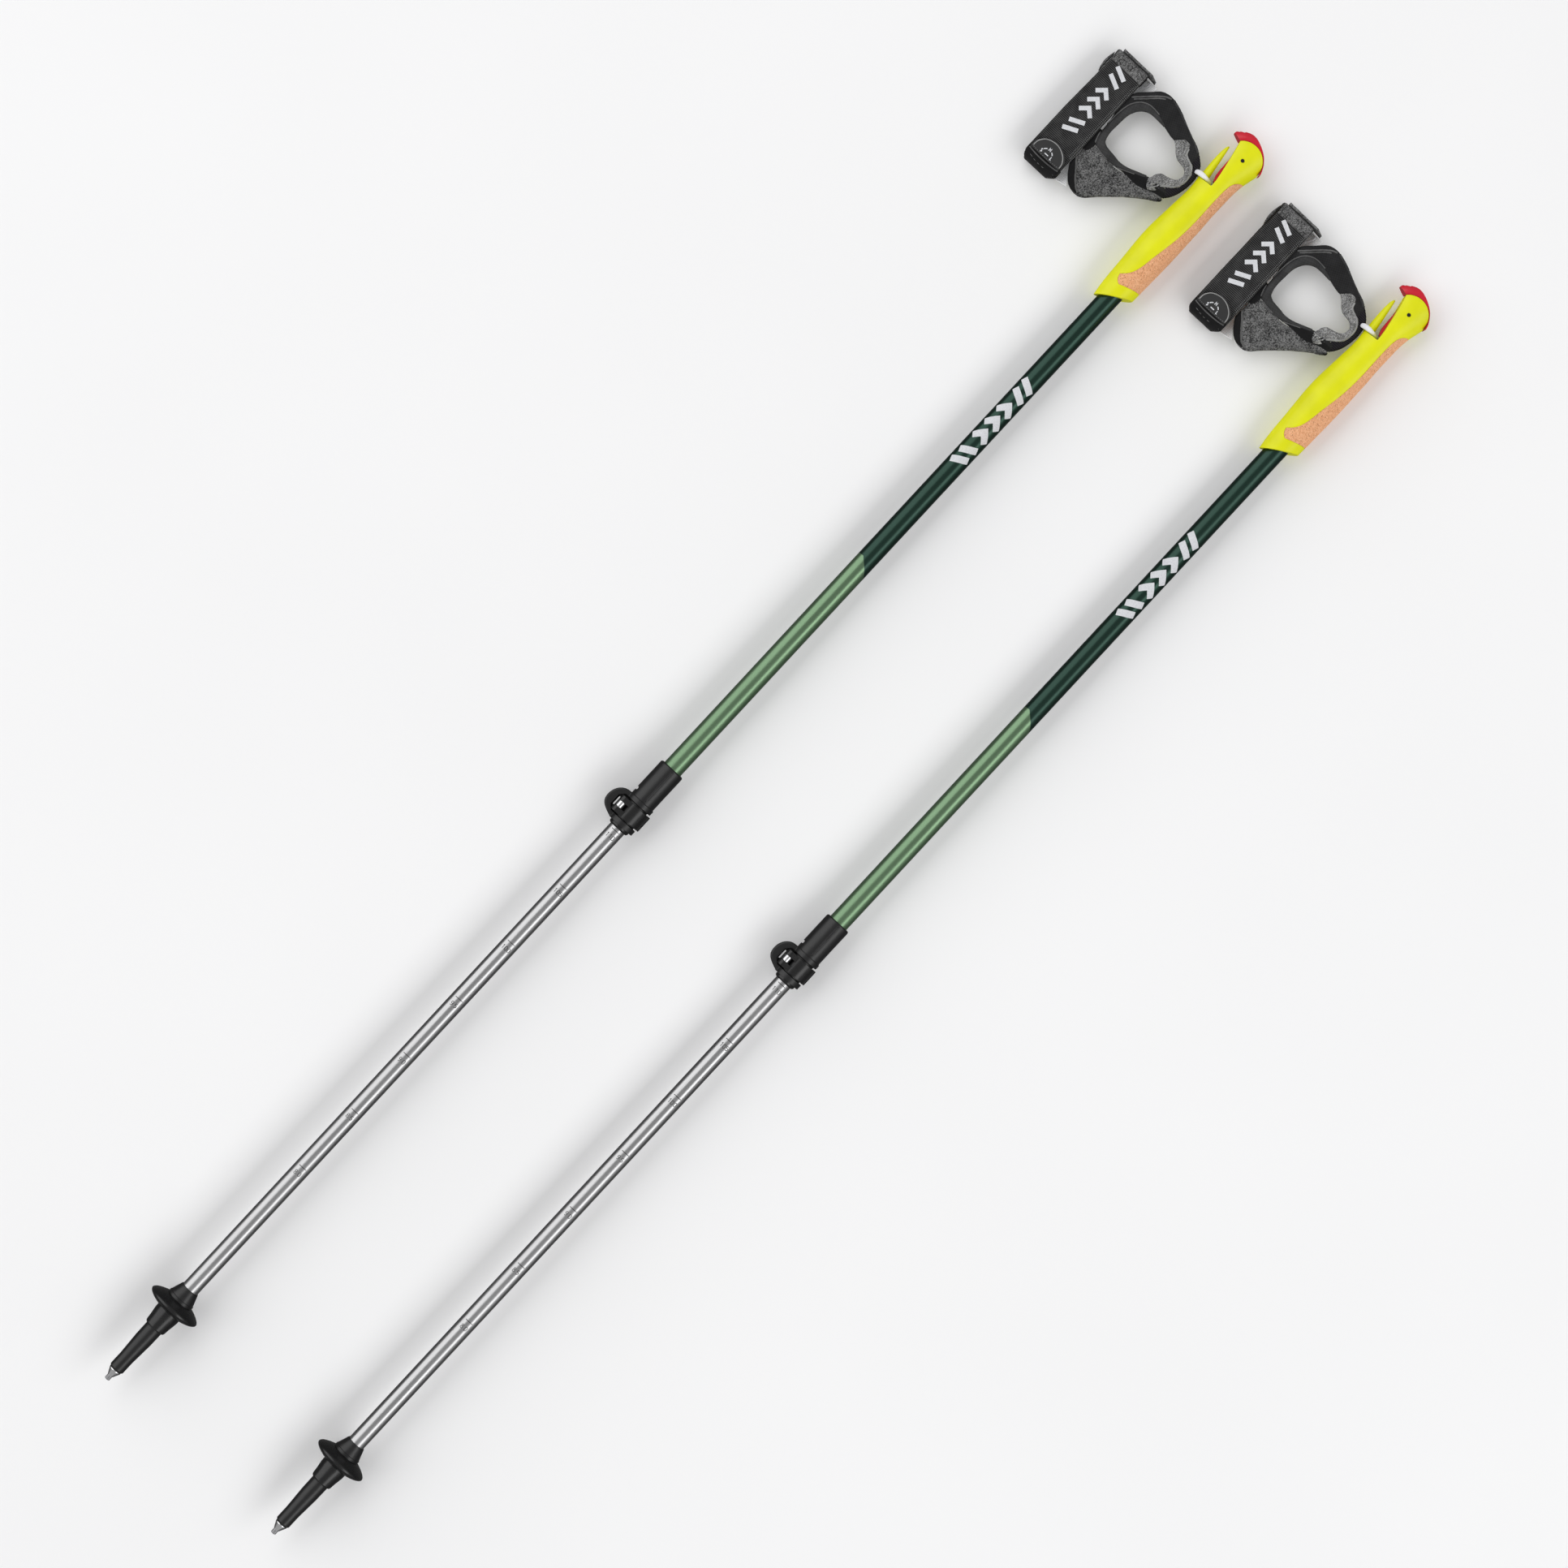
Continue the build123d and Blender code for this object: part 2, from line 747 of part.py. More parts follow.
with BuildPart() as strap_palm:
    with BuildSketch(floor_plane(panel_bottom)):
        with BuildLine():
            Spline(*flip([*seam_lower, (75.0, 1030.6)]))
            Line(*flip([(75.0, 1030.6), (79.8, 1028.0)]))
            Line(*flip([(79.8, 1028.0), palm_heel[0]]))
            Spline(*flip(palm_heel))
            Spline(*flip([palm_heel[-1], (40.0, 1016.6), palm_end]))
            Polyline(*flip([palm_end, (18.4, 1033.4), seam_lower[0]]))
        make_face()
    extrude(amount=panel_thickness)
write_pair("strap_palm", strap_palm)

# The webbing that ties both arms together and carries the ring: a band round the nose of the
# thumb loop, with an eye for the ring's limb.
nose_outside = [
    (19.4, 1071.6),
    (14.4, 1066.8),
    (12.0, 1060.0),
    (11.9, 1053.0),
    (13.2, 1046.0),
    (15.4, 1040.6),
    (18.5, 1036.6),
]
nose_inside = [
    (18.5, 1044.4),
    (16.0, 1047.8),
    (14.8, 1052.2),
    (14.7, 1056.6),
    (15.8, 1061.0),
    (19.4, 1065.1),
]

with BuildPart() as strap_webbing:
    with BuildSketch(floor_plane(panel_bottom)):
        with BuildLine():
            Spline(*flip(nose_outside))
            Line(*flip([nose_outside[-1], nose_inside[0]]))
            Spline(*flip(nose_inside))
            Line(*flip([nose_inside[-1], nose_outside[0]]))
        make_face()
    extrude(amount=panel_thickness)
    eye_plane = Plane(origin=place(ring_along, ring_outside, -webbing_eye_half), z_dir=base.z_dir)
    with BuildSketch(eye_plane):
        Circle(webbing_eye_outer)
    extrude(amount=2 * webbing_eye_half)
    with BuildSketch(eye_plane.offset(-webbing_eye_half)):
        Circle(webbing_eye_hole)
    extrude(amount=4 * webbing_eye_half, mode=Mode.SUBTRACT)
write_pair("strap_webbing", strap_webbing)

# The elastic binding round the nose of the thumb hole
loop_inside = [
    (35.0, 1066.9),
    (30.4, 1061.4),
    (22.6, 1059.4),
    (19.2, 1055.2),
    (21.4, 1050.0),
    (30.4, 1046.7),
    (33.0, 1042.2),
]
loop_outside = [
    (24.6, 1041.7),
    (18.9, 1044.9),
    (16.5, 1048.6),
    (15.1, 1054.4),
    (16.4, 1060.4),
    (19.3, 1063.4),
    (25.6, 1065.8),
]

with BuildPart() as thumb_loop:
    with BuildSketch(floor_plane(panel_bottom + free_gap)):
        with BuildLine():
            Spline(*flip(loop_inside))
            Line(*flip([loop_inside[-1], loop_outside[0]]))
            Spline(*flip(loop_outside))
            Line(*flip([loop_outside[-1], loop_inside[0]]))
        make_face()
    extrude(amount=panel_thickness - 2 * free_gap)
write_pair("thumb_loop", thumb_loop)

# The wrist band: one flattened loop of webbing, open along the way the hand goes in.
band_middle = (band_low + band_high) / 2
band_plane = Plane(origin=(tip_x, band_near, 0), x_dir=(1, 0, 0), z_dir=(0, 1, 0))

with BuildPart() as strap_band:
    with BuildSketch(band_plane):
        with Locations((band_middle, -band_height / 2)):
            RectangleRounded(band_high - band_low, band_height, band_height / 2 - 0.1)
            RectangleRounded(
                band_high - band_low - 2 * band_wall,
                band_height - 2 * band_wall,
                band_height / 2 - band_wall - 0.1,
                mode=Mode.SUBTRACT,
            )
    extrude(amount=band_far - band_near)
write_pair("strap_band", strap_band)

# The lining of the band's lower side. At both ends a wing of it rises to the panels and shows
# beside the band.
lining_outline = [
    (105.0, 1004.6),
    (79.8, 1004.6),
    (79.8, 998.2),
    (70.4, 998.9),
    (78.6, 1011.0),
    (78.6, 1073.0),
    (70.4, 1082.0),
    (70.4, 1086.6),
    (79.8, 1087.4),
    (79.8, 1080.2),
    (105.0, 1080.2),
]
# Its cross-section: (across, height)
lining_thickness = 1.0
lining_fall = [(70.4, 8.3), (79.6, band_wall), (105.0, band_wall)]

with BuildPart() as lining_plan:
    with BuildSketch(floor_plane(0)):
        with BuildLine():
            Polyline(*flip(lining_outline), close=True)
        make_face()
    extrude(amount=band_height)

with BuildPart() as strap_lining:
    with BuildSketch(Plane(origin=(tip_x + band_low, 0, 0), x_dir=(0, 1, 0), z_dir=(1, 0, 0))):
        with BuildLine():
            raised = [(across, height + lining_thickness) for across, height in reversed(lining_fall)]
            Polyline(*lining_fall, *raised, close=True)
        make_face()
    extrude(amount=band_high - band_low)
    add(lining_plan.part, mode=Mode.INTERSECT)
write_pair("strap_lining", strap_lining)

# The size tab on the band: a flat tongue with a round end.
tab_low = band_low + 7.2
tab_high = 1014.2

with BuildPart() as strap_tab:
    with BuildSketch(floor_plane(band_height)):
        with BuildLine():
            Polyline(*flip([(81.2, 1008.0), (81.2, tab_low), (105.6, tab_low), (105.6, 1006.0)]))
            ThreePointArc(*flip([(105.6, 1006.0), (93.6, tab_high), (81.2, 1008.0)]))
        make_face()
    extrude(amount=1.4)
write_pair("strap_tab", strap_tab)

# The folded-back tail of the band at its upper end, and the fold that stands out at its side.
tail_outline = [(73.0, 1087.9), (80.2, 1088.9), (103.4, 1088.9), (103.4, 1090.6), (78.4, 1090.2)]
fold_outline = [
    (106.9, 1069.0),
    (strap_reach - 0.3, 1073.0),
    (strap_reach, 1079.0),
    (strap_reach - 1.2, 1084.6),
    (106.9, 1086.4),
]

with BuildPart() as strap_tail:
    with BuildSketch(floor_plane(band_wall)):
        with BuildLine():
            Polyline(*flip(tail_outline), close=True)
        make_face()
    extrude(amount=11.5)
    with BuildSketch(floor_plane(band_wall + 1.0)):
        with BuildLine():
            Spline(*flip(fold_outline))
            Line(*flip([fold_outline[-1], fold_outline[0]]))
        make_face()
    extrude(amount=9.0)
write_pair("strap_tail", strap_tail)
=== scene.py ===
"""The looks of a pair of trekking poles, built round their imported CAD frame.

Lengths handed to place() and level() are in millimetres along, across and above a pole, as in
the CAD source; everything in the scene is in metres. Pieces are made on pole a and copied to b.
"""

import json
from math import ceil, cos, pi, radians, sin

import bmesh
import bpy
from mathutils import Matrix, Vector, noise
from mathutils.bvhtree import BVHTree


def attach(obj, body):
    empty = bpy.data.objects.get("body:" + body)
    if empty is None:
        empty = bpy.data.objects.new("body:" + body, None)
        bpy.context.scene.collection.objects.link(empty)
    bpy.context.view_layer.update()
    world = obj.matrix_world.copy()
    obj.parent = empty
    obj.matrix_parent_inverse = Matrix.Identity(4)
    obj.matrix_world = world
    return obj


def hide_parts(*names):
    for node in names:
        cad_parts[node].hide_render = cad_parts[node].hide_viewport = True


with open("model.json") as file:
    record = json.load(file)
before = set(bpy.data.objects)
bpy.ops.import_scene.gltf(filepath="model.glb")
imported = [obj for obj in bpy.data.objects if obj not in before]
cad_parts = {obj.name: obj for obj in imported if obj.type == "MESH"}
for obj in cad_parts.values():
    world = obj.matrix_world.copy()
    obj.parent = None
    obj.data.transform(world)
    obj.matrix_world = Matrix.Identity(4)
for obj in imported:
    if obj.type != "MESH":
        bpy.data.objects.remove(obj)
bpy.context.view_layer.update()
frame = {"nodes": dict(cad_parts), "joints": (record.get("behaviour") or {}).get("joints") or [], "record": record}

MM = 0.001
scene = bpy.context.scene

# ---- the pole's own coordinates

joints = {joint["name"]: joint for joint in frame["joints"]}
mounts = {mount["name"]: mount for mount in frame["record"]["mounts"]}

LENGTHWISE = Vector(joints["pole_slide_a"]["axis"]).normalized()
ACROSS = Vector((0, 1, 0))
UPWARD = LENGTHWISE.cross(ACROSS)
SEAT_ALONG = 14.3  # the walking pad's seat, along the pole from its tip
SEAT = Vector(mounts["tip_pad_seat_a"]["pos_m"])
TIP = SEAT - LENGTHWISE * SEAT_ALONG * MM
TO_POLE_B = Vector(mounts["tip_pad_seat_b"]["pos_m"]) - SEAT
SIDES = {"a": Vector(), "b": TO_POLE_B}

UPPER_RADIUS = 7.0
LOWER_RADIUS = 6.0
BAND_TOP = 16.0
BAND_WALL = 2.0
PANEL_TOP = 13.5
PANEL_BOTTOM = 9.9


def place(along, across=0.0, up=0.0):
    """A point of pole a, square to its axis."""
    return TIP + (LENGTHWISE * along + ACROSS * across + UPWARD * up) * MM


def level(along, across, height):
    """A point beside pole a at a height above the floor, as the strap lies."""
    return Vector((TIP.x + along * MM, TIP.y + across * MM, height * MM))


def settle(thing, **settings):
    """Give a Blender thing these settings, and hand it back."""
    for key, value in settings.items():
        setattr(thing, key, value)
    return thing


def add_object(name, data, **settings):
    """A new object in the scene, with these settings."""
    obj = settle(bpy.data.objects.new(name, data), **settings)
    scene.collection.objects.link(obj)
    return obj


# ---- mesh helpers


def turns(count):
    """Angles evenly spaced round a circle."""
    return [2 * pi * k / count for k in range(count)]


def smooth_line(points, step=0.6, parts=None):
    """Points about a step apart, or so many to a span, on a smooth curve through the given ones."""
    line, last = [], len(points) - 1
    for i in range(last):
        a, b, c, d = (Vector(points[min(max(i + k, 0), last)]) for k in (-1, 0, 1, 2))
        cuts = parts or max(1, round((c - b).length / step))
        for t in (j / cuts for j in range(cuts)):
            bend, twist = 2 * a - 5 * b + 4 * c - d, 3 * b - a - 3 * c + d
            line.append(0.5 * (2 * b + (c - a) * t + bend * t**2 + twist * t**3))
    return [*line, Vector(points[-1])]


def finish_mesh(mesh, crease):
    """Outward faces and smooth shading, with edges sharp above an angle in degrees."""
    work = bmesh.new()
    work.from_mesh(mesh)
    bmesh.ops.recalc_face_normals(work, faces=work.faces)
    work.to_mesh(mesh)
    work.free()
    mesh.polygons.foreach_set("use_smooth", [True] * len(mesh.polygons))
    mesh.set_sharp_from_angle(angle=radians(crease))


def mesh_of_rings(rings, crease=40, closed=False):
    """A skin over rings of points, capped at both ends unless the last ring meets the first."""
    count, sides = len(rings), len(rings[0])
    faces = []
    for i in range(count if closed else count - 1):
        here, there = i * sides, (i + 1) % count * sides
        for k in range(sides):
            j = (k + 1) % sides
            faces.append((here + k, here + j, there + j, there + k))
    if not closed:
        faces.append(tuple(range(sides)))
        faces.append(tuple(range((count - 1) * sides, count * sides)))
    mesh = bpy.data.meshes.new("piece")
    mesh.from_pydata([tuple(corner) for ring in rings for corner in ring], [], faces)
    mesh.update()
    finish_mesh(mesh, crease)
    return mesh


def join(meshes):
    """One mesh of several."""
    work = bmesh.new()
    for mesh in meshes:
        work.from_mesh(mesh)
        bpy.data.meshes.remove(mesh)
    joined = bpy.data.meshes.new("piece")
    work.to_mesh(joined)
    work.free()
    return joined


def evaluated(obj):
    """The object's mesh with its modifiers applied; the object goes."""
    graph = bpy.context.evaluated_depsgraph_get()
    mesh = bpy.data.meshes.new_from_object(obj.evaluated_get(graph))
    bpy.data.objects.remove(obj)
    return mesh


def moulded(node, voxel, rounds, keep=1.0):
    """A CAD node of pole a with its edges rounded off, as a mould leaves them."""
    obj = add_object(node + "_work", frame["nodes"][node + "_a"].data.copy())
    modifiers = obj.modifiers
    settle(modifiers.new("weld", "WELD"), merge_threshold=0.005 * MM)
    settle(modifiers.new("remesh", "REMESH"), mode="VOXEL", voxel_size=voxel * MM)
    settle(modifiers.new("soften", "SMOOTH"), factor=0.5, iterations=rounds)
    if keep < 1:
        modifiers.new("fewer", "DECIMATE").ratio = keep
    mesh = evaluated(obj)
    mesh.materials.clear()
    finish_mesh(mesh, 180)
    return mesh


def roughen(mesh, amount, size, seed):
    """Push a mesh in and out a little, by smooth noise of this size."""
    offset = Vector((seed * 7.3, seed * 3.1, seed * 5.7))
    normals = [n.vector.copy() for n in mesh.vertex_normals]
    for vertex, normal in zip(mesh.vertices, normals):
        swell = noise.noise(vertex.co / (size * MM) + offset)
        vertex.co += normal * swell * amount * MM
    mesh.update()
    return mesh


def tree_of(mesh):
    """A search tree over a mesh's faces."""
    work = bmesh.new()
    work.from_mesh(mesh)
    tree = BVHTree.FromBMesh(work)
    work.free()
    return tree


def drop(along, across, tree, lift=0.0):
    """Where a point above a piece lands on it, and the surface's direction there."""
    hit, normal, _, _ = tree.ray_cast(level(along, across, 60), Vector((0, 0, -1)))
    if hit is None:
        hit, normal, _, _ = tree.find_nearest(level(along, across, 0))
    if normal.z < 0:
        normal = -normal
    return hit + normal * lift * MM, normal


def tube_on(points, normals, width, height, sides=10, closed=False):
    """A round or flattened cord along points, its width lying square to the normals."""
    rings, last = [], len(points) - 1
    for i, (point, normal) in enumerate(zip(points, normals)):
        ahead = points[(i + 1) % len(points)] if closed or i < last else point
        behind = points[i - 1] if closed or i > 0 else point
        tangent = (ahead - behind).normalized()
        sideways = normal.cross(tangent).normalized()
        rise = tangent.cross(sideways)
        ring = []
        for turn in turns(sides):
            offset = sideways * cos(turn) * width / 2 + rise * sin(turn) * height / 2
            ring.append(point + offset * MM)
        rings.append(ring)
    return mesh_of_rings(rings, closed=closed)


def cord_over(outline, tree, width, height, lift=0.0):
    """A sewn cord along a flat outline of (along, across) points, lying on the piece."""
    landed = [drop(p.x, p.y, tree, lift) for p in smooth_line(outline)]
    return tube_on([p for p, _ in landed], [n for _, n in landed], width, height)


def thread(route, tree, lift, thickness, taper):
    """One stitch: a short spindle through three (along, across) points, lying on the piece."""
    landed = [drop(p.x, p.y, tree, lift) for p in route]
    points, normal = [p for p, _ in landed], landed[1][1]
    sideways = normal.cross((points[-1] - points[0]).normalized()).normalized()
    rings = []
    for point, size in zip(points, (taper, 1.0, taper)):
        spread = [sideways * cos(turn) + normal * sin(turn) for turn in turns(6)]
        rings.append([point + s * size * thickness / 2 * MM for s in spread])
    return mesh_of_rings(rings, 180)


def stitches_over(outline, tree, pitch=2.6, length=1.7, thickness=0.42, lift=0.05):
    """A row of stitches along a flat outline of (along, across) points, lying on the piece."""
    line = smooth_line(outline, 0.3)
    meshes, travelled, due = [], 0.0, 0.0
    for behind, point in zip(line, line[1:]):
        travelled += (point - behind).length
        if travelled >= due:
            due = travelled + pitch
            half = (point - behind).normalized() * length / 2
            meshes.append(thread((point - half, point, point + half), tree, lift, thickness, 0.35))
    return join(meshes)


def sheet_between(rows, top, bottom, columns=10, parts=6):
    """A closed strip between two flat edges, in rows of (along, across, along, across).

    top and bottom give its heights in millimetres from the shares along it and across it, and
    the point (along, across) there.
    """
    near = smooth_line([row[:2] for row in rows], parts=parts)
    far = smooth_line([row[2:] for row in rows], parts=parts)
    rings = []
    for i, (start, end) in enumerate(zip(near, far)):
        t = i / (len(near) - 1)
        row = [(w / columns, start.lerp(end, w / columns)) for w in range(columns + 1)]
        upper = [level(p.x, p.y, top(t, w, p)) for w, p in row]
        rings.append(upper + [level(p.x, p.y, bottom(t, w, p)) for w, p in reversed(row)])
    return mesh_of_rings(rings, 50)


# ---- material helpers


def feed(tree, node, sockets):
    """Give each socket, by its name or number, a value or another node's output."""
    for key, value in sockets.items():
        if isinstance(value, bpy.types.NodeSocket):
            tree.links.new(value, node.inputs[key])
        else:
            node.inputs[key].default_value = value


def add_node(tree, kind, sockets=None, **settings):
    """A shader node with its settings and what its sockets hold."""
    made = settle(tree.nodes.new("ShaderNode" + kind), **settings)
    feed(tree, made, sockets or {})
    return made


class Skin:
    """A material under construction, with a few shorthands for its nodes."""

    def __init__(self, name, colour, roughness, metallic=0.0, **sockets):
        self.material = bpy.data.materials.new(name)
        self.material.use_nodes = True
        self.tree = self.material.node_tree
        self.wear(Base_Color=(*colour, 1), Roughness=roughness, Metallic=metallic, **sockets)
        self.place = self.node("TexCoord").outputs["Object"]

    def wear(self, **sockets):
        """Give the shader's sockets, named with _ for a space, their values."""
        named = {socket.replace("_", " "): value for socket, value in sockets.items()}
        feed(self.tree, self.tree.nodes["Principled BSDF"], named)

    def node(self, kind, sockets=None, **settings):
        return add_node(self.tree, kind, sockets, **settings)

    def mapped(self, **change):
        """Object coordinates, scaled or turned for a grain."""
        return self.node("Mapping", {"Vector": self.place, **change}).outputs["Vector"]

    def streaked(self, along):
        """Object coordinates, squeezed lengthwise for a grain that runs along the pole."""
        return self.mapped(Scale=(along, 1, 1))

    def noise(self, size, detail=3.0, where=None, roughness=0.55):
        """Noise whose features are about this many millimetres wide."""
        sockets = {"Scale": 1 / (size * MM), "Detail": detail, "Roughness": roughness}
        return self.node("TexNoise", {"Vector": where or self.place, **sockets}).outputs["Fac"]

    def cells(self, size, feature="F1"):
        """Cells about this many millimetres wide."""
        sockets = {"Vector": self.place, "Scale": 1 / (size * MM)}
        return self.node("TexVoronoi", sockets, feature=feature).outputs

    def wave(self, pitch, direction, where=None, distortion=0.0):
        """Parallel bands with this pitch in millimetres."""
        scale = pi / (10 * pitch * MM)
        sockets = {"Vector": where or self.place, "Scale": scale, "Distortion": distortion}
        made = self.node("TexWave", sockets, bands_direction=direction, wave_profile="SIN")
        return made.outputs["Fac"]

    def weave(self, pitch, where=None, distortion=0.0):
        """Two sets of bands crossing at this pitch in millimetres."""
        return self.maths("MULTIPLY", *[self.wave(pitch, d, where, distortion) for d in "XY"])

    def maths(self, operation, *values):
        return self.node("Math", dict(enumerate(values)), operation=operation).outputs[0]

    def vectors(self, operation, *values):
        """A vector operation's outputs: the vector and the number."""
        return self.node("VectorMath", dict(enumerate(values)), operation=operation).outputs

    def blend(self, share, first, second):
        """Two values mixed, the first by this share."""
        rest = self.maths("MULTIPLY", second, 1 - share)
        return self.maths("MULTIPLY_ADD", first, share, rest)

    def between(self, value, low, high, from_low=0.0, from_high=1.0):
        """A value carried from one range to another."""
        sockets = {"From Min": from_low, "From Max": from_high, "To Min": low, "To Max": high}
        return self.node("MapRange", {"Value": value, **sockets}).outputs["Result"]

    def ramp(self, value, *stops):
        """Colours at places from 0 to 1."""
        made = self.node("ValToRGB", {"Fac": value})
        elements = made.color_ramp.elements
        while len(elements) < len(stops):
            elements.new(0.5)
        for element, (at, colour) in zip(elements, stops):
            element.position = at
            element.color = (*colour, 1)
        return made.outputs["Color"]

    def mix(self, share, first, second):
        """A colour of a node and a plain one mixed by a value; a Mix node's colours are 6 and 7."""
        return self.node("Mix", {0: share, 6: first, 7: second}, data_type="RGBA").outputs[2]

    def colour(self, value, *stops):
        """The colour, from a value by a ramp of stops."""
        self.wear(Base_Color=self.ramp(value, *stops))

    def roughness(self, value, *ends):
        """The roughness, from a value carried to a range."""
        self.wear(Roughness=self.between(value, *ends))

    def bump(self, *layers):
        """Bumps one on another: (height from 0 to 1, depth in millimetres)."""
        below = {}
        for height, depth in layers:
            sockets = {"Strength": 1.0, "Distance": depth * MM, "Height": height, **below}
            below = {"Normal": self.node("Bump", sockets).outputs["Normal"]}
        self.wear(**below)


def tint(colour, factor):
    """A colour made lighter or darker."""
    return tuple(min(1.0, c * factor) for c in colour)


# ---- materials


def moulded_plastic(name, colour, roughness, depth, grain=0.35, gloss=0.5):
    """Injection-moulded plastic with a fine spark-eroded grain this many millimetres deep."""
    skin = Skin(name, colour, roughness, Specular_IOR_Level=gloss)
    skin.colour(skin.noise(14, 2), (0.3, tint(colour, 0.95)), (0.7, tint(colour, 1.05)))
    skin.roughness(skin.noise(5, 3), roughness - 0.05, roughness + 0.06)
    skin.bump((skin.noise(grain, 2), depth), (skin.noise(6, 2), depth * 2))
    return skin.material


def drawn_aluminium(name, colour, roughness):
    """Anodised tube with faint lines along it."""
    skin = Skin(name, colour, roughness, metallic=1.0)
    lines = skin.noise(0.5, 4, skin.streaked(0.012))
    smudges = skin.noise(30, 3, skin.streaked(0.3))
    skin.colour(lines, (0.3, tint(colour, 0.93)), (0.7, tint(colour, 1.06)))
    skin.roughness(smudges, roughness - 0.03, roughness + 0.05, 0.3, 0.7)
    skin.bump((lines, 0.004))
    return skin.material


def two_tone_paint(name, side):
    """Pearl paint: light green up to a slanting edge, dark green from there to the grip."""
    light, dark = (0.158, 0.262, 0.150), (0.014, 0.044, 0.031)
    skin = Skin(name, dark, 0.3, metallic=0.85, Coat_Weight=0.25, Coat_Roughness=0.2)
    edge_high, edge_fall = 730.2, 6.3  # the edge's high end, and how far it drops in a radian
    high_turn, high_half = 1.69, 1.2  # where round the tube the high end is, in radians
    high = UPWARD * cos(high_turn) + ACROSS * sin(high_turn)
    from_tip = skin.vectors("SUBTRACT", skin.place, TIP + SIDES[side])[0]
    along = skin.vectors("DOT_PRODUCT", from_tip, LENGTHWISE)[1]
    on_axis = skin.vectors("PROJECT", from_tip, LENGTHWISE)[0]
    outwards = skin.vectors("NORMALIZE", skin.vectors("SUBTRACT", from_tip, on_axis)[0])[0]
    turn = skin.maths("ARCCOSINE", skin.vectors("DOT_PRODUCT", outwards, high)[1])
    past = skin.maths("MAXIMUM", skin.maths("SUBTRACT", turn, high_half), 0.0)
    edge = skin.maths("SUBTRACT", edge_high * MM, skin.maths("MULTIPLY", past, edge_fall * MM))
    share = skin.between(skin.maths("SUBTRACT", along, edge), 0, 1, -0.12 * MM, 0.12 * MM)
    flakes = skin.cells(0.25)["Color"]
    sparkle = skin.ramp(flakes, (0.0, tint(light, 0.88)), (1.0, tint(light, 1.1)))
    deep = skin.ramp(flakes, (0.0, tint(dark, 0.85)), (1.0, tint(dark, 1.15)))
    skin.wear(Base_Color=skin.mix(share, sparkle, deep))
    skin.roughness(skin.noise(25, 3, skin.streaked(0.3)), 0.27, 0.34, 0.3, 0.7)
    skin.bump((skin.noise(1.2, 2), 0.004))
    return skin.material


def cork_skin():
    """Pressed cork: packed grains, a few of them dark."""
    skin = Skin("cork", (0.5, 0.25, 0.13), 0.85, Specular_IOR_Level=0.25)
    dull, middle, pale = (0.69, 0.31, 0.15), (0.83, 0.405, 0.205), (0.95, 0.54, 0.31)
    black, white = (0, 0, 0), (1, 1, 1)
    grains = skin.ramp(skin.cells(0.75)["Color"], (0.0, dull), (0.4, middle), (1.0, pale))
    specks = skin.ramp(skin.cells(0.45)["Color"], (0.12, white), (0.18, black))
    pores = skin.ramp(skin.noise(0.6, 4), (0.27, white), (0.36, black))
    speckled = skin.mix(specks, grains, (0.40, 0.15, 0.06, 1))
    skin.wear(Base_Color=skin.mix(pores, speckled, (0.24, 0.09, 0.035, 1)))
    seams = skin.cells(0.75, "DISTANCE_TO_EDGE")["Distance"]
    skin.bump((skin.between(seams, 0, 1, 0, 0.15), 0.06), (skin.noise(0.8, 4), 0.12))
    return skin.material


def steel(name, colour, roughness):
    """Turned steel with faint scratches."""
    skin = Skin(name, colour, roughness, metallic=1.0)
    scratches = skin.noise(0.3, 4, skin.streaked(0.15))
    skin.colour(scratches, (0.3, tint(colour, 0.85)), (0.7, tint(colour, 1.1)))
    skin.roughness(skin.noise(1.5, 3), roughness - 0.08, roughness + 0.12)
    skin.bump((scratches, 0.01))
    return skin.material


def cloth(name, colour, roughness, sheen, sheen_roughness, gloss):
    """The start of a cloth's skin."""
    sockets = {"Sheen_Weight": sheen, "Sheen_Roughness": sheen_roughness}
    return Skin(name, colour, roughness, Specular_IOR_Level=gloss, **sockets)


def knitted(name, colour, pitch, depth=0.05):
    """A fine knit or tight weave."""
    skin = cloth(name, colour, 0.9, 0.06, 0.5, 0.15)
    weave = skin.weave(pitch, skin.mapped(Rotation=(0, 0, radians(38))), 0.6)
    shade = skin.blend(0.5, weave, skin.noise(9, 4))
    skin.colour(shade, (0.2, tint(colour, 0.4)), (0.75, tint(colour, 1.6)))
    skin.bump((weave, depth), (skin.noise(3, 3), depth * 1.2))
    return skin.material


def heathered(name, dark, light):
    """A melange cloth of light and dark fibres."""
    skin = cloth(name, dark, 0.92, 0.05, 0.5, 0.1)
    fibres = skin.noise(0.8, 3, roughness=0.7)
    mottle = skin.blend(0.75, fibres, skin.noise(5, 3))
    skin.colour(mottle, (0.40, dark), (0.5, tint(light, 0.42)), (0.61, light))
    skin.bump((skin.weave(0.7), 0.06), (fibres, 0.14), (skin.noise(6, 2), 0.2))
    return skin.material


def ribbed_webbing(name, dark, light, pitch):
    """Webbing with picks across it; its ribs are in the mesh."""
    skin = cloth(name, dark, 0.82, 0.04, 0.45, 0.2)
    picks, ends = skin.wave(pitch, "X", distortion=0.3), skin.wave(0.62, "Y")
    weave = skin.maths("MULTIPLY", picks, skin.between(ends, 0.35, 1.0))
    skin.colour(skin.blend(0.6, weave, skin.noise(7, 4)), (0.22, dark), (0.8, light))
    skin.bump((weave, 0.16), (skin.noise(0.5, 3), 0.04))
    return skin.material


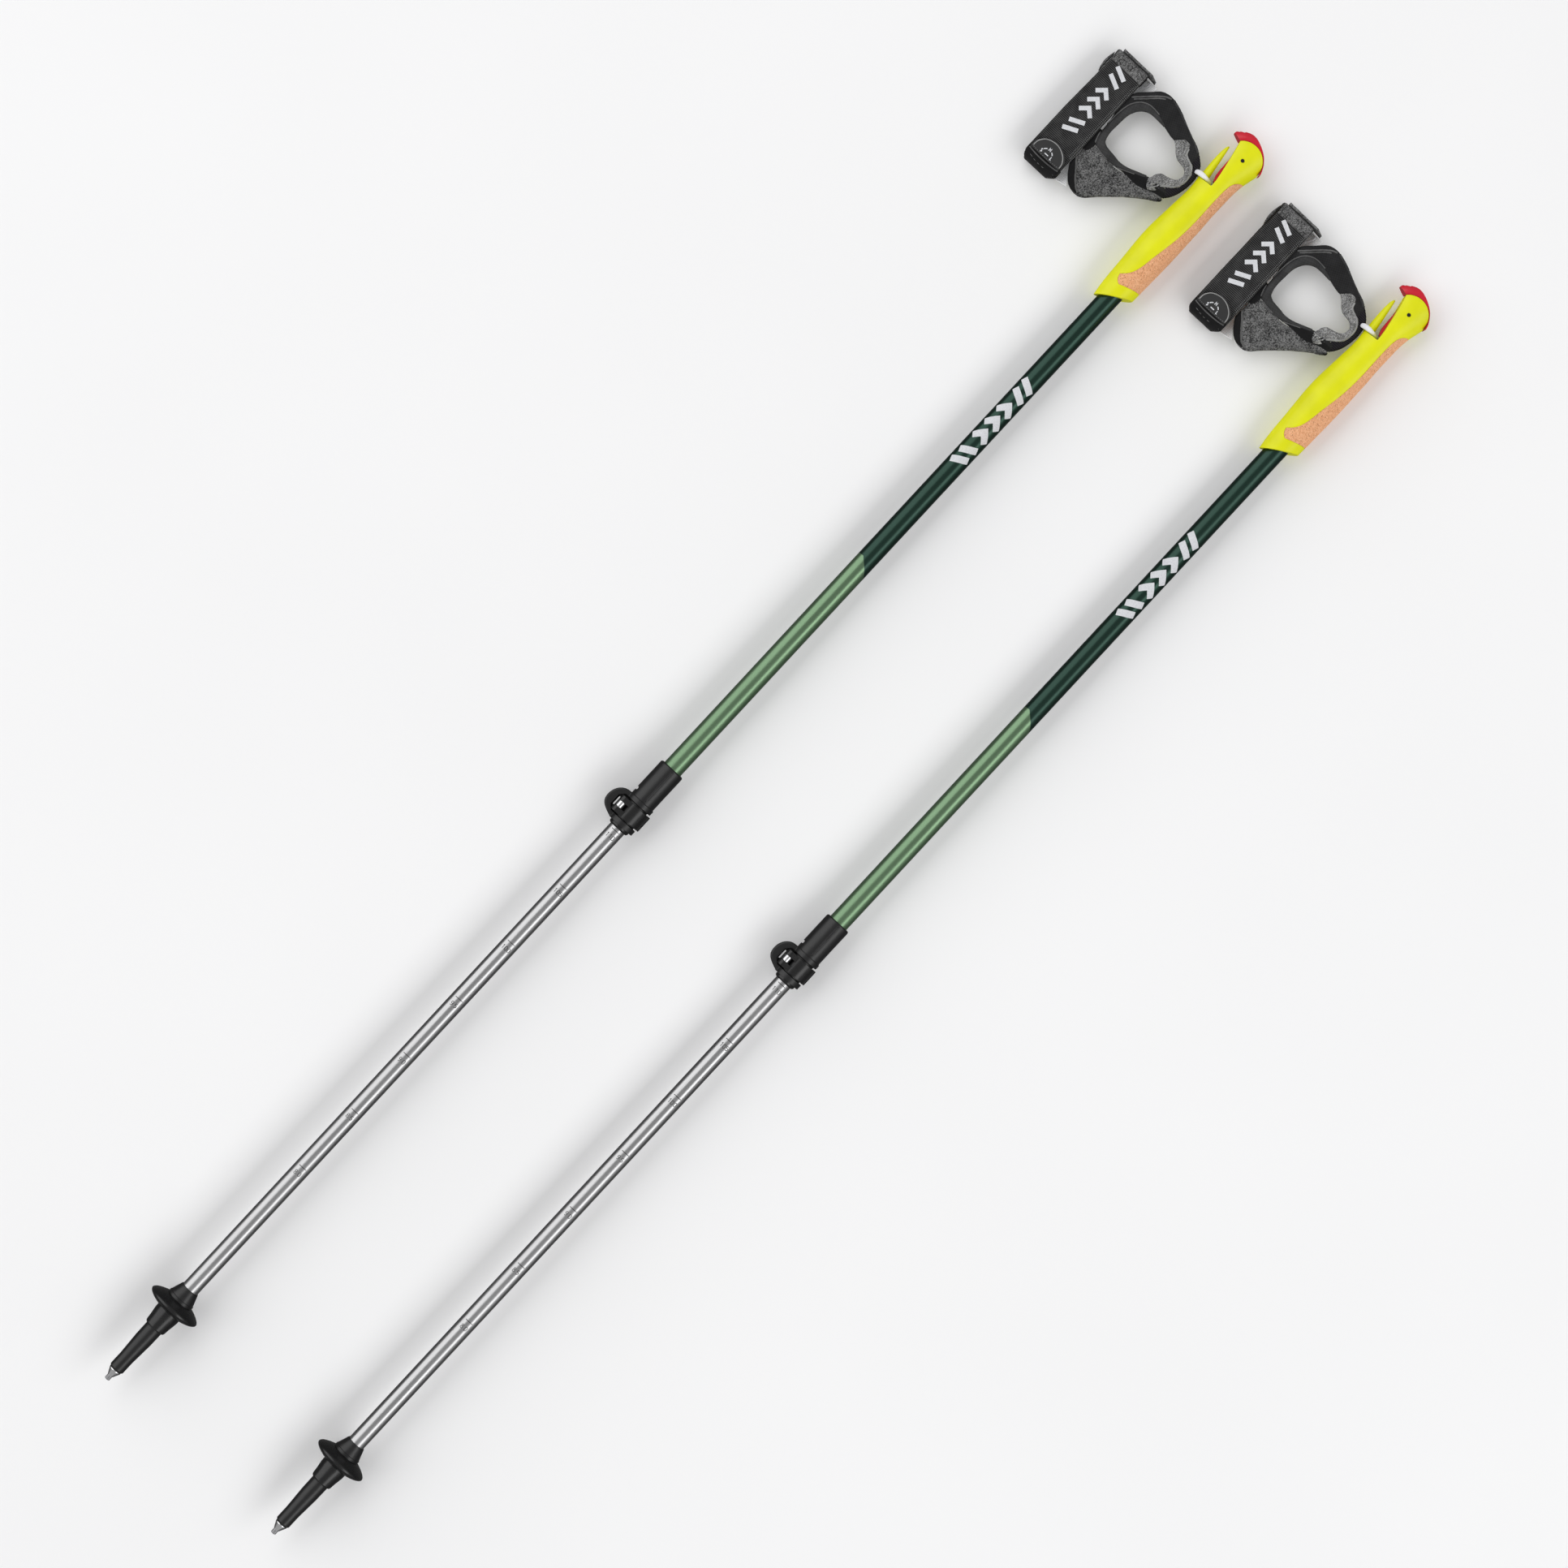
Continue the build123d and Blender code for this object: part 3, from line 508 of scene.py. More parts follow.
def mesh_lining_skin():
    """A pale open mesh: rows of small dark holes."""
    skin = Skin("mesh_lining", (0.86, 0.87, 0.88), 0.85, Sheen_Weight=0.1)
    holes = skin.weave(1.3)
    skin.colour(holes, (0.6, (0.95, 0.955, 0.96)), (0.85, (0.68, 0.69, 0.71)))
    skin.bump((skin.maths("SUBTRACT", 1.0, holes), 0.15))
    return skin.material


def braided(name, colour):
    """A braided cord sheath."""
    skin = Skin(name, colour, 0.6, Sheen_Weight=0.15)
    plait = skin.weave(0.45, skin.mapped(Rotation=(0, radians(35), radians(45))))
    skin.colour(plait, (0.0, tint(colour, 0.93)), (0.5, colour))
    skin.bump((plait, 0.025))
    return skin.material


def print_ink(name, colour):
    """Printed ink or thread, a little uneven."""
    skin = Skin(name, colour, 0.5)
    skin.colour(skin.noise(0.8, 4), (0.25, tint(colour, 0.8)), (0.6, colour))
    skin.roughness(skin.noise(2, 3), 0.42, 0.62)
    skin.bump((skin.noise(0.3, 2), 0.01))
    return skin.material


charcoal = moulded_plastic("charcoal_plastic", (0.0065, 0.0065, 0.0068), 0.34, 0.03)
charcoal_smooth = moulded_plastic("charcoal_smooth", (0.0062, 0.0062, 0.0065), 0.26, 0.015)
neon = moulded_plastic("neon_plastic", (0.76, 0.77, 0.004), 0.36, 0.012, 0.5, 0.3)
red = moulded_plastic("red_plastic", (0.60, 0.010, 0.028), 0.24, 0.008)
cork = cork_skin()
silver = drawn_aluminium("drawn_aluminium", (0.47, 0.47, 0.475), 0.27)
bright = steel("bright_steel", (0.72, 0.72, 0.73), 0.24)
black_steel = steel("black_steel", (0.05, 0.05, 0.05), 0.35)
carbide = steel("carbide", (0.36, 0.36, 0.37), 0.42)
sheath = braided("white_sheath", (0.88, 0.88, 0.92))
frame_cloth = knitted("frame_cloth", (0.024, 0.024, 0.025), 0.8, 0.08)
# Near-black knit; it also colours the sheet of painted shadow beside the band
dark_cloth_and_shadow = knitted("dark_cloth_and_shadow", (0.011, 0.011, 0.0115), 0.7)
rim_cloth = knitted("rim_cloth", (0.052, 0.052, 0.053), 0.7)
# Pale cord cloth for the pipings; on the tab's fold it also paints the highlight on the roll's edge
piping_and_highlight_cloth = knitted("piping_and_highlight_cloth", (0.135, 0.135, 0.135), 0.6, 0.04)
palm_cloth = heathered("palm_cloth", (0.008, 0.008, 0.0085), (0.22, 0.22, 0.22))
fold_cloth = heathered("fold_cloth", (0.014, 0.014, 0.0145), (0.26, 0.26, 0.26))
loop_cloth = heathered("loop_cloth", (0.08, 0.08, 0.08), (0.42, 0.42, 0.42))
pale_binding = knitted("pale_binding", (0.36, 0.36, 0.36), 0.6)
black_webbing = ribbed_webbing("black_webbing", (0.0035, 0.003, 0.0045), (0.032, 0.028, 0.036), 1.3)
band_webbing = ribbed_webbing("band_webbing", (0.0015, 0.0015, 0.0017), (0.105, 0.105, 0.105), 1.15)
lining = mesh_lining_skin()
size_tab = moulded_plastic("size_tab", (0.017, 0.017, 0.0175), 0.5, 0.02)
grey_thread = print_ink("grey_thread", (0.16, 0.16, 0.16))
pale_thread = print_ink("pale_thread", (0.33, 0.33, 0.33))
scale_ink = print_ink("scale_ink", (0.010, 0.010, 0.010))
white_ink = print_ink("white_ink", (0.70, 0.71, 0.74))

# ---- showing pieces


def show_pair(name, mesh, body, skin, stands_for=()):
    """Show a mesh on pole a and its copy on pole b, riding on that body."""
    pieces = []
    for side, shift in SIDES.items():
        data = mesh if side == "a" else mesh.copy()
        data.transform(Matrix.Translation(shift))
        data.name = f"{name}_{side}"
        data.materials.clear()
        data.materials.append(skin)
        piece = add_object(f"{name}_{side}", data)
        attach(piece, f"{body}_{side}")
        if stands_for:
            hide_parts(*[f"{node}_{side}" for node in stands_for])
        pieces.append(piece)
    return pieces


def on_strap(name, mesh, skin, stands_for=()):
    """Show a piece of the strap on both poles."""
    return show_pair(name, mesh, "strap", skin, stands_for)


def dress(skin, *nodes, sides="ab"):
    """Give CAD nodes of both poles, or of one, their material."""
    for name in [f"{node}_{side}" for node in nodes for side in sides]:
        materials = frame["nodes"][name].data.materials
        materials.clear()
        materials.append(skin)


# ---- camera, floor and light


def set_camera():
    """Straight down, turned so that the poles run from lower left to upper right."""
    across_view = 1.0257  # width of the view at the height of the poles' axes, in metres
    distance = 2.59
    aim = Vector((0.0327, -0.0308, 0.0155))
    data = settle(bpy.data.cameras.new("camera"), sensor_width=36, clip_start=0.05, clip_end=50)
    data.lens = data.sensor_width / 2 / (across_view / 2 / distance)
    spot = aim + Vector((0, 0, distance))
    turned = (0, 0, radians(-47.157))
    scene.camera = add_object("camera", data, location=spot, rotation_euler=turned)


def set_floor():
    """A plain pale floor, left out of glossy reflections so that the shafts keep dark edges."""
    half = 6.0
    under = -0.1 * MM
    corners = [(x * half, y * half, under) for x, y in ((-1, -1), (1, -1), (1, 1), (-1, 1))]
    mesh = bpy.data.meshes.new("floor")
    mesh.from_pydata(corners, [], [(0, 1, 2, 3)])
    finish_mesh(mesh, 40)
    dull, pale = (0.92, 0.92, 0.925), (0.94, 0.94, 0.945)
    skin = Skin("floor", (0.93, 0.93, 0.935), 0.9, Specular_IOR_Level=0.1)
    skin.colour(skin.noise(400, 2), (0.3, dull), (0.7, pale))
    mesh.materials.append(skin.material)
    floor = add_object("floor", mesh, visible_glossy=False)


def softbox(name, turn, distance, width, length, radiance):
    """A long softbox parallel to the poles, this many degrees from overhead."""
    data = settle(bpy.data.lights.new(name, "AREA"), shape="RECTANGLE", size=length, size_y=width)
    data.energy = radiance * pi * width * length
    angle = radians(turn)
    spot = Vector((0, sin(angle), cos(angle))) * distance
    add_object(name, data, location=spot, rotation_euler=(-angle, 0, 0), visible_camera=False)


def set_world():
    """A dim studio: grey above, darker below the horizon."""
    world = bpy.data.worlds.new("studio")
    world.use_nodes = True
    tree = world.node_tree
    place = add_node(tree, "TexCoord").outputs["Generated"]
    height = add_node(tree, "SeparateXYZ", {"Vector": place}).outputs["Z"]
    brightness = {"From Min": -0.12, "From Max": 0.12, "To Min": 0.10, "To Max": 0.40}
    strength = add_node(tree, "MapRange", {"Value": height, **brightness}).outputs["Result"]
    feed(tree, tree.nodes["Background"], {"Color": (1, 1, 1, 1), "Strength": strength})
    scene.world = world


set_camera()
set_floor()
set_world()
softbox("strap_side_light", 52, 3.5, 4.0, 8.0, 1.26)
softbox("back_side_light", -49, 3.5, 1.6, 8.0, 2.1)
scene.view_settings.view_transform = "Standard"

# ---- hard pieces that stay

dress(carbide, "tip_insert")
dress(bright, "tip_holder", "clamp_pin", "draw_screw", "draw_nut", "trigger_spring")
dress(black_steel, "trigger_pin")
dress(charcoal, "tip_body", "guide_plug")
dress(charcoal_smooth, "basket", "clamp_wiper")
dress(silver, "lower_shaft")
for side in SIDES:
    dress(two_tone_paint(f"two_tone_paint_{side}", side), "upper_shaft", sides=side)

# ---- moulded pieces

grip_mesh = moulded("grip_shell", 0.3, 2, 0.35)
cork_mesh = roughen(moulded("grip_cork", 0.25, 1, 0.35), 0.09, 1.6, 3)
housing_mesh = moulded("clamp_housing", 0.2, 2, 0.3)
lever_mesh = moulded("clamp_lever", 0.2, 2, 0.4)
comb_mesh = moulded("trigger_lever", 0.16, 2, 0.4)

show_pair("grip_moulding", grip_mesh, "upper", neon, ["grip_shell"])
show_pair("cork_panel", cork_mesh, "upper", cork, ["grip_cork"])
show_pair("clamp_body", housing_mesh, "upper", charcoal, ["clamp_housing"])
show_pair("clamp_handle", lever_mesh, "clamp_lever", charcoal_smooth, ["clamp_lever"])
show_pair("release_comb", comb_mesh, "trigger", red, ["trigger_lever"])

RING_ALONG = 1063.35  # where the cord loop stands behind the beak


def cord_loop():
    """The strap's cord loop: an upright ring, thickest where it comes over the beak."""
    middle, half_width, half_height = 8.75, 5.85, 7.0
    rings = []
    for turn in turns(72):
        centre = Vector((half_width * cos(turn), half_height * sin(turn)))
        outward = Vector((centre.x / half_width**2, centre.y / half_height**2)).normalized()
        swell = max(0.0, cos(turn - radians(52))) ** 2
        along_radius, radial_radius = 1.22 + 0.62 * swell, 1.15 + 0.2 * swell
        ring = []
        for roll in turns(16):
            spread = centre + outward * radial_radius * cos(roll)
            along = RING_ALONG + along_radius * sin(roll)
            ring.append(place(along, middle + spread.x, spread.y))
        rings.append(ring)
    return mesh_of_rings(rings, 180, closed=True)


show_pair("cord_loop", cord_loop(), "ring", sheath, ["loop_ring"])

# ---- prints

# Each sign's lines, in a cell one high
STROKES = {
    "0": [
        [(0.05, 0.5), (0.05, 0.85), (0.3, 1), (0.55, 0.85)]
        + [(0.55, 0.15), (0.3, 0), (0.05, 0.15), (0.05, 0.5)]
    ],
    "1": [[(0.12, 0.82), (0.36, 1), (0.36, 0)]],
    "5": [[(0.53, 1), (0.1, 1), (0.07, 0.56), (0.36, 0.62), (0.56, 0.32), (0.33, 0), (0.04, 0.1)]],
    "8": [
        [(0.3, 0.54), (0.08, 0.7), (0.12, 0.94), (0.3, 1), (0.48, 0.94), (0.52, 0.7), (0.3, 0.54)],
        [(0.3, 0.54), (0.05, 0.34), (0.08, 0.07), (0.3, 0)]
        + [(0.52, 0.07), (0.55, 0.34), (0.3, 0.54)],
    ],
    "9": [
        [(0.52, 0.6), (0.3, 0.44), (0.06, 0.6), (0.1, 0.9), (0.3, 1)]
        + [(0.52, 0.88), (0.54, 0.4), (0.3, 0), (0.08, 0.08)]
    ],
    "S": [[(0.52, 0.86), (0.3, 1), (0.08, 0.8), (0.3, 0.52), (0.54, 0.26), (0.3, 0), (0.06, 0.14)]],
    "M": [[(0.04, 0), (0.04, 1), (0.35, 0.4), (0.66, 1), (0.66, 0)]],
    "L": [[(0.1, 1), (0.1, 0), (0.52, 0)]],
}
INK = 0.03  # the height of a printed mark, and how far above the surface it starts


def stroke(points, width, lay, height=INK, lift=INK):
    """A printed stroke: a thin closed strip along flat (x, y) points, laid by lay(x, y, lift)."""
    longest_face = 0.45
    points = [Vector(p) for p in points]
    edges = []
    for i, point in enumerate(points):
        before, after = points[max(i - 1, 0)], points[min(i + 1, len(points) - 1)]
        tangents = [t.normalized() for t in (point - before, after - point) if t.length > 1e-9]
        tangent = sum(tangents, Vector((0, 0))).normalized()
        mitre = 1 / max(0.5, tangent.dot(tangents[-1]))
        half = Vector((-tangent.y, tangent.x)) * width / 2 * mitre
        edges.append((point - half, point + half))
    rows = []
    for (left, right), (next_left, next_right) in zip(edges, edges[1:]):
        longest = max((next_left - left).length, (next_right - right).length)
        cuts = max(1, ceil(longest / longest_face))
        shares = [c / cuts for c in range(cuts)]
        rows += [(left.lerp(next_left, s), right.lerp(next_right, s)) for s in shares]
    rows.append(edges[-1])
    cells = max(1, ceil(width / longest_face))
    row = [k / cells for k in range(cells + 1)]
    rings = []
    for left, right in rows:
        line = [left.lerp(right, across) for across in row]
        over = [lay(p.x, p.y, lift + height) for p in line]
        rings.append(over + [lay(p.x, p.y, lift) for p in reversed(line)])
    return mesh_of_rings(rings, 30)


def lettering(text, size, width, lay, gap=0.3):
    """Text in thin strokes, centred on x = 0 and standing on y = 0."""
    advances = [(0.7 if letter == "M" else 0.6) + gap for letter in text]
    x = -(sum(advances) - gap) / 2
    meshes = []
    for letter, advance in zip(text, advances):
        for points in STROKES[letter]:
            line = [((x + px) * size, py * size) for px, py in points]
            meshes.append(stroke(line if letter in "1ML" else smooth_line(line, 0.25), width, lay))
        x += advance
    return meshes


def pattern(starts, reach, slant, bar, lay, height=INK, lift=INK):
    """Plain marks one after another: two bars, three chevrons and two bars."""
    routes = 2 * [[(-reach, 0), (reach, slant)]]
    routes += 3 * [[(-reach, 0), (0, slant), (reach, 0)]]
    routes += 2 * [[(-reach, slant), (reach, 0)]]
    meshes = []
    for start, route in zip(starts, routes):
        meshes.append(stroke([(x, start + y) for x, y in route], bar, lay, height, lift))
    return join(meshes)


def on_shaft(along, radius):
    """Lays a print round a shaft: x runs to the right of a pole held upright, y up it."""

    def lay(x, y, lift):
        turn = -x / radius
        out = radius + lift
        return place(along + y, out * sin(turn), out * cos(turn))

    return lay


def scale_marks():
    """The length scale on the lower shaft: a line and a number every five centimetres."""
    meshes = []
    first_mark, pitch, below_mark = 188.9, 49.93, 6.4
    for i, number in enumerate(range(80, 115, 5)):
        along = first_mark + i * pitch
        meshes.append(stroke([(-3.0, 0), (3.1, 0)], 0.42, on_shaft(along, LOWER_RADIUS)))
        digits = on_shaft(along - below_mark, LOWER_RADIUS)
        meshes += lettering(str(number), 2.9, 0.34, digits, 0.24 if number > 99 else 0.5)
    return join(meshes)


shaft_starts = (816, 824.5, 837, 848.5, 860, 872.5, 881)
shaft_pattern = pattern(shaft_starts, 5.6, 6.0, 4.8, on_shaft(0, UPPER_RADIUS))
show_pair("scale_marks", scale_marks(), "lower", scale_ink)
show_pair("shaft_pattern", shaft_pattern, "upper", white_ink)

# ---- wrist strap: panels


def puffed(mesh):
    """A padded panel blown up a little by a cloth simulation, and no point moved past a cap."""
    pressure, cap, frames = 4.0, 0.5, 16
    grow = 20.0  # simulated larger than life, where the solver is steadier
    mesh.transform(Matrix.Scale(grow, 4))
    obj = add_object("pad_work", mesh)
    rest = [v.co.copy() for v in mesh.vertices]
    blower = obj.modifiers.new("cloth", "CLOTH")
    settle(blower.settings, use_pressure=True, uniform_pressure_force=pressure, quality=5)
    settle(blower.point_cache, frame_start=1, frame_end=frames)
    blower.settings.effector_weights.gravity = 0
    for step in range(1, frames + 1):
        scene.frame_set(step)
    blown = evaluated(obj)
    scene.frame_set(1)
    for vertex, start in zip(blown.vertices, rest):
        moved = vertex.co - start
        if moved.length > cap * grow * MM:
            vertex.co = start + moved.normalized() * cap * grow * MM
    blown.transform(Matrix.Scale(1 / grow, 4))
    finish_mesh(blown, 180)
    return blown


frame_mesh = roughen(puffed(moulded("strap_frame", 0.7, 5)), 0.12, 7, 1)
palm_mesh = roughen(puffed(moulded("strap_palm", 0.7, 5)), 0.20, 6, 2)
panel_tree = tree_of(join([frame_mesh.copy(), palm_mesh.copy()]))

for piece in on_strap("strap_pad", frame_mesh, frame_cloth, ["strap_frame"]):
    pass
for piece in on_strap("palm_pad", palm_mesh, palm_cloth, ["strap_palm"]):
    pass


def panel_height(p):
    """The height of the panels' top at a point (along, across), or of their rim just off them."""
    landed = panel_tree.ray_cast(level(p.x, p.y, 60), Vector((0, 0, -1)))[0]
    rim = PANEL_TOP - 0.25
    return rim if landed is None else max(landed.z / MM, rim)


def overlay(rows, rise, roll=0.0):
    """A layer on the panels between two edges, this much rounded across; the sewn layers are made with it, and so
    is the dark sheet of painted shadow beside the band.
    """

    def top(t, w, p):
        rim = min(1.0, 7 * w, 7 * (1 - w)) * min(1.0, 9 * t + 0.15, 9 * (1 - t) + 0.15)
        return panel_height(p) + rise * rim * (1 - roll + roll * sin(pi * w))

    return sheet_between(rows, top, lambda t, w, p: panel_height(p) - 0.8, 8)


# Edges of the layers and routes of the cords on the panels, as (along, across); one of the layers is a dark sheet
# of painted shadow
HOLE_RIM = [
    (1070.2, 50, 1071.4, 50.4), (1070.6, 57, 1073.4, 57.4), (1070.2, 63.2, 1073.8, 65.4),
    (1067.2, 68.2, 1071.2, 71.6), (1062.2, 71.4, 1065.4, 75.6), (1056, 73, 1057.8, 77.4),
    (1048, 73.4, 1048.6, 77.9), (1041, 72.8, 1038.8, 77.5), (1036.6, 71, 1032.2, 75.4),
    (1034.8, 67.8, 1030, 69.4), (1034, 60, 1029, 60), (1033.8, 54.4, 1030.4, 53.8),
    (1034.8, 49, 1032.2, 49), (1037, 43, 1034.6, 43.2), (1039.4, 36.6, 1037.2, 37.2),
]
SMOOTH_TONGUE = [
    (1031.4, 54.4, 1030.2, 54), (1033.2, 48, 1030.2, 46), (1035.8, 41, 1029.8, 39),
    (1037.6, 35.6, 1030.8, 33.6), (1038, 26, 1033.8, 26), (1038.6, 19.6, 1035, 19.4),
]
# A dark sheet of painted shadow: the band's shadow on the palm pad, beside the band's near edge
BAND_SHADOW_SHEET = [
    (1041, 77, 1041.6, 80.9), (1035, 75.8, 1035.6, 80.9), (1029.4, 75, 1029.4, 80.9),
    (1024, 76.6, 1023.6, 80.9),
]
HEEL_STRIP = [
    (1016.8, 79.4, 1011.2, 79.5), (1011.6, 75, 1005.6, 75.9), (1005.8, 70.4, 1001.2, 71.8),
    (1001.4, 66, 999.2, 67.8), (999.6, 62.4, 998.8, 62.8),
]
RIM_PIPING = [
    (1074, 57.6), (1074.4, 65.8), (1071.6, 72.2), (1065.8, 76.3),
    (1058, 78.1), (1048.6, 78.6), (1038.6, 78.2), (1031.6, 76),
]
LOWER_PIPING = [
    (1030.6, 73.6), (1029.6, 68.4), (1029, 62), (1028.6, 58),
    (1030.2, 53.6), (1032, 49), (1034.4, 43.2),
]
ARM_PIPING_OUTER = [
    (1070.2, 78.8), (1073.8, 75), (1078.8, 70),
    (1082.6, 66), (1085.6, 62), (1086.9, 58.6),
]
ARM_PIPING_INNER = [(1070.2, 76.8), (1074.8, 72), (1078.8, 68), (1082, 64.6), (1084.2, 61.4)]
HEEL_PIPING = [(1017.4, 79.4), (1012.4, 75), (1006.4, 70), (1002.4, 66), (1000.2, 62.4)]
ARM_EDGE = [
    (1072.8, 21.8), (1076, 27.6), (1079, 35),
    (1082.5, 43), (1085.3, 50), (1087.4, 57),
]
PALM_EDGE = [
    (999, 61.6), (999.8, 58), (1002.6, 54.6),
    (1011, 45.6), (1019.8, 36), (1032, 20.6),
]
PALM_ROW_OUTER = [(1001, 60.2), (1003.6, 57), (1013, 46.8), (1022, 37), (1033.6, 22.6)]
PALM_ROW_INNER = [(1001.6, 62.4), (1005.4, 58.4), (1014.4, 48.2), (1023.4, 38.4), (1034.2, 24.6)]
END_ROLL = [(1031.9, 20.8), (1032.9, 19.3), (1035, 18.9), (1037.4, 18.9)]

# The dark strips and the end roll are near-black cloth; the sheet beside the band is painted shadow in the same
# cloth
strips = [overlay(SMOOTH_TONGUE, 0.3), overlay(HEEL_STRIP, 0.45, 0.4), overlay(BAND_SHADOW_SHEET, 0.05)]
strips.append(cord_over(END_ROLL, panel_tree, 1.6, 1.4))
piping = [
    cord_over(RIM_PIPING, panel_tree, 0.9, 0.8),
    cord_over(LOWER_PIPING, panel_tree, 0.7, 0.9, 0.2),
    cord_over(ARM_PIPING_OUTER, panel_tree, 1.1, 0.9),
    cord_over(ARM_PIPING_INNER, panel_tree, 0.9, 0.8),
    cord_over(HEEL_PIPING, panel_tree, 1.1, 1.0, 0.1),
]
edges = [
    cord_over(ARM_EDGE, panel_tree, 1.7, 1.2, -0.1),
    cord_over(PALM_EDGE, panel_tree, 2.0, 1.3, -0.2),
]
sewn = [stitches_over(row, panel_tree) for row in (PALM_ROW_OUTER, PALM_ROW_INNER)]

on_strap("hole_rim", overlay(HOLE_RIM, 0.9, 0.6), rim_cloth)
on_strap("dark_strips_and_band_shadow", join(strips), dark_cloth_and_shadow)
on_strap("strap_piping", join(piping), piping_and_highlight_cloth)
on_strap("strap_edging", join(edges), rim_cloth)
on_strap("palm_stitches", join(sewn), grey_thread)

# ---- wrist strap: thumb loop

# The elastic binding from one arm round the nose to the other: its inner and outer edges
THUMB_LOOP = [
    (1068.6, 38.9, 1073.5, 34), (1067.2, 37.2, 1073.6, 29.8), (1065.6, 35.2, 1071.2, 27.4),
    (1062.9, 32.4, 1067.6, 26.2), (1060.9, 29.2, 1065.8, 22.8), (1060.1, 25.2, 1064.3, 19.2),
    (1059.3, 21.8, 1061.6, 16.7), (1057.2, 19.6, 1058, 15.2), (1054.6, 19, 1054.4, 14.9),
    (1051.6, 19.8, 1050.8, 15.4), (1049.4, 22, 1047.2, 16.8), (1047.9, 26.2, 1044.6, 18.8),
    (1046.7, 30.6, 1042.4, 21.6), (1044, 32.9, 1040.4, 24), (1040.8, 33.8, 1037.8, 24.6),
    (1037.8, 34.8, 1035.2, 26.6), (1034, 32.4, 1032.6, 30),
]


def thumb_binding():
    """The binding, gathered in ruffles where it is sewn to the arms."""
    lower, upper = PANEL_BOTTOM + 0.5, PANEL_TOP - 0.5

    def gathered(t):
        return max(0.0, 1 - t / 0.19, (t - 0.80) / 0.2)

    def lap(t):
        return min(1.0, 1.6 * gathered(t))

    def top(t, w, p):
        crown = 0.75 * sin(pi * w) ** 0.6
        ruffle = 0.55 * gathered(t) ** 0.5 * sin(2 * pi * (4.5 * w + 1.1 * t))
        cross = 0.25 * gathered(t) * sin(70 * t)
        return upper + crown + (ruffle + cross) * sin(pi * w) + 0.75 * lap(t)

    def bottom(t, w, p):
        return lower + (upper - lower - 0.3) * lap(t)

    return roughen(sheet_between(THUMB_LOOP, top, bottom, 20, 7), 0.10, 2.5, 4)


def bar_tack(start, end, swing, passes):
    """A zigzag of thick thread that holds a gathered end, from one point to another."""
    first, ahead = Vector(start), Vector(end) - Vector(start)
    sideways = Vector((ahead.y, -ahead.x)).normalized() * swing
    meshes = []
    for k in range(passes):
        route = []
        for part in (0.05, 0.5, 0.95):
            point = first + ahead * (k + part) / passes + sideways * (2 * part - 1)
            route.append(point)
        meshes.append(thread(route, binding_tree, 0.1, 0.5, 0.7))
    return join(meshes)


binding = thumb_binding()
binding_tree = tree_of(binding)
outer_edge = [Vector(row[2:]).lerp(Vector(row[:2]), 0.1) for row in THUMB_LOOP[2:-2]]
tacks = [
    bar_tack((1069, 38), (1072.4, 33.6), 0.7, 5),
    bar_tack((1068, 36.2), (1071, 32.4), 0.6, 4),
    bar_tack((1072.6, 31.2), (1068.4, 29), 0.7, 5),
    bar_tack((1037, 34.2), (1033.4, 31.4), 0.7, 5),
    bar_tack((1037.2, 31), (1036, 28.2), 0.8, 3),
    bar_tack((1034, 30.8), (1036.4, 27.4), 0.6, 4),
]
selvedge = cord_over(outer_edge, binding_tree, 1.3, 0.7, -0.05)
on_strap("thumb_binding", binding, loop_cloth, ["thumb_loop"])
on_strap("binding_edge", selvedge, pale_binding)
on_strap("bar_tacks", join(tacks), pale_thread)

# ---- wrist strap: webbing

# The inner and outer faces of the webbing round the nose, as (along, across)
NOSE_INSIDE = [
    (1042.6, 22), (1044.4, 18.5), (1047.8, 16), (1052.2, 14.8),
    (1056.6, 14.7), (1061, 15.8), (1065.1, 19.4), (1066.2, 23),
]
NOSE_OUTSIDE = [
    (1035.4, 22), (1036.6, 18.5), (1040.6, 15.4), (1046, 13.2), (1053, 11.9),
    (1060, 12), (1066.8, 14.4), (1071.6, 19.4), (1074, 23),
]


def nose_webbing():
    """The webbing round the nose: a band on edge with a slanting twill."""
    inside, outside = smooth_line(NOSE_INSIDE, 0.4), smooth_line(NOSE_OUTSIDE, 0.4)
    stations, heights, layers = 130, 9, 6

    def pick(line, share):
        at = share * (len(line) - 1)
        low = min(int(at), len(line) - 2)
        return line[low].lerp(line[low + 1], at - low)

    section = [(0, j / heights) for j in range(heights)]
    section += [(k / layers, 1) for k in range(layers)]
    section += [(1, 1 - j / heights) for j in range(heights)]
    section += [(1 - k / layers, 0) for k in range(layers)]
    rings = []
    for share in (i / stations for i in range(stations + 1)):
        near, far = pick(inside, share), pick(outside, share)
        outwards = (far - near).normalized()
        ring = []
        for across, height in section:
            twill = 0.17 * sin(2 * pi * (share * 24 + 2.0 * height + 1.6 * across))
            rounding = 0.6 * (1 - sin(pi * across) ** 0.5) if height in (0, 1) else 0.0
            p = near.lerp(far, across) + outwards * (2 * across - 1) * twill
            z = PANEL_BOTTOM + (PANEL_TOP - PANEL_BOTTOM) * height
            z += (twill - rounding) * (1 if height == 1 else -1 if height == 0 else 0)
            ring.append(level(p.x, p.y, z))
        rings.append(ring)
    return mesh_of_rings(rings, 60)


def webbing_eye():
    """The eye that the cord loop passes through, as a small roll of webbing."""
    across, radius, rise = 14.6, 2.3, 4.2
    points = [
        place(RING_ALONG + radius * cos(turn), across + radius * sin(turn))
        for turn in turns(36)
    ]
    return tube_on(points, [UPWARD] * len(points), 1.2, rise, 12, closed=True)


nose_mesh = join([nose_webbing(), webbing_eye()])
on_strap("nose_webbing", nose_mesh, black_webbing, ["strap_webbing"])

BAND_NEAR, BAND_FAR = 80.0, 106.7
BAND_LOW, BAND_HIGH = 994.2, 1088.6
RIBS = 20
RIB_HEIGHT = 0.17


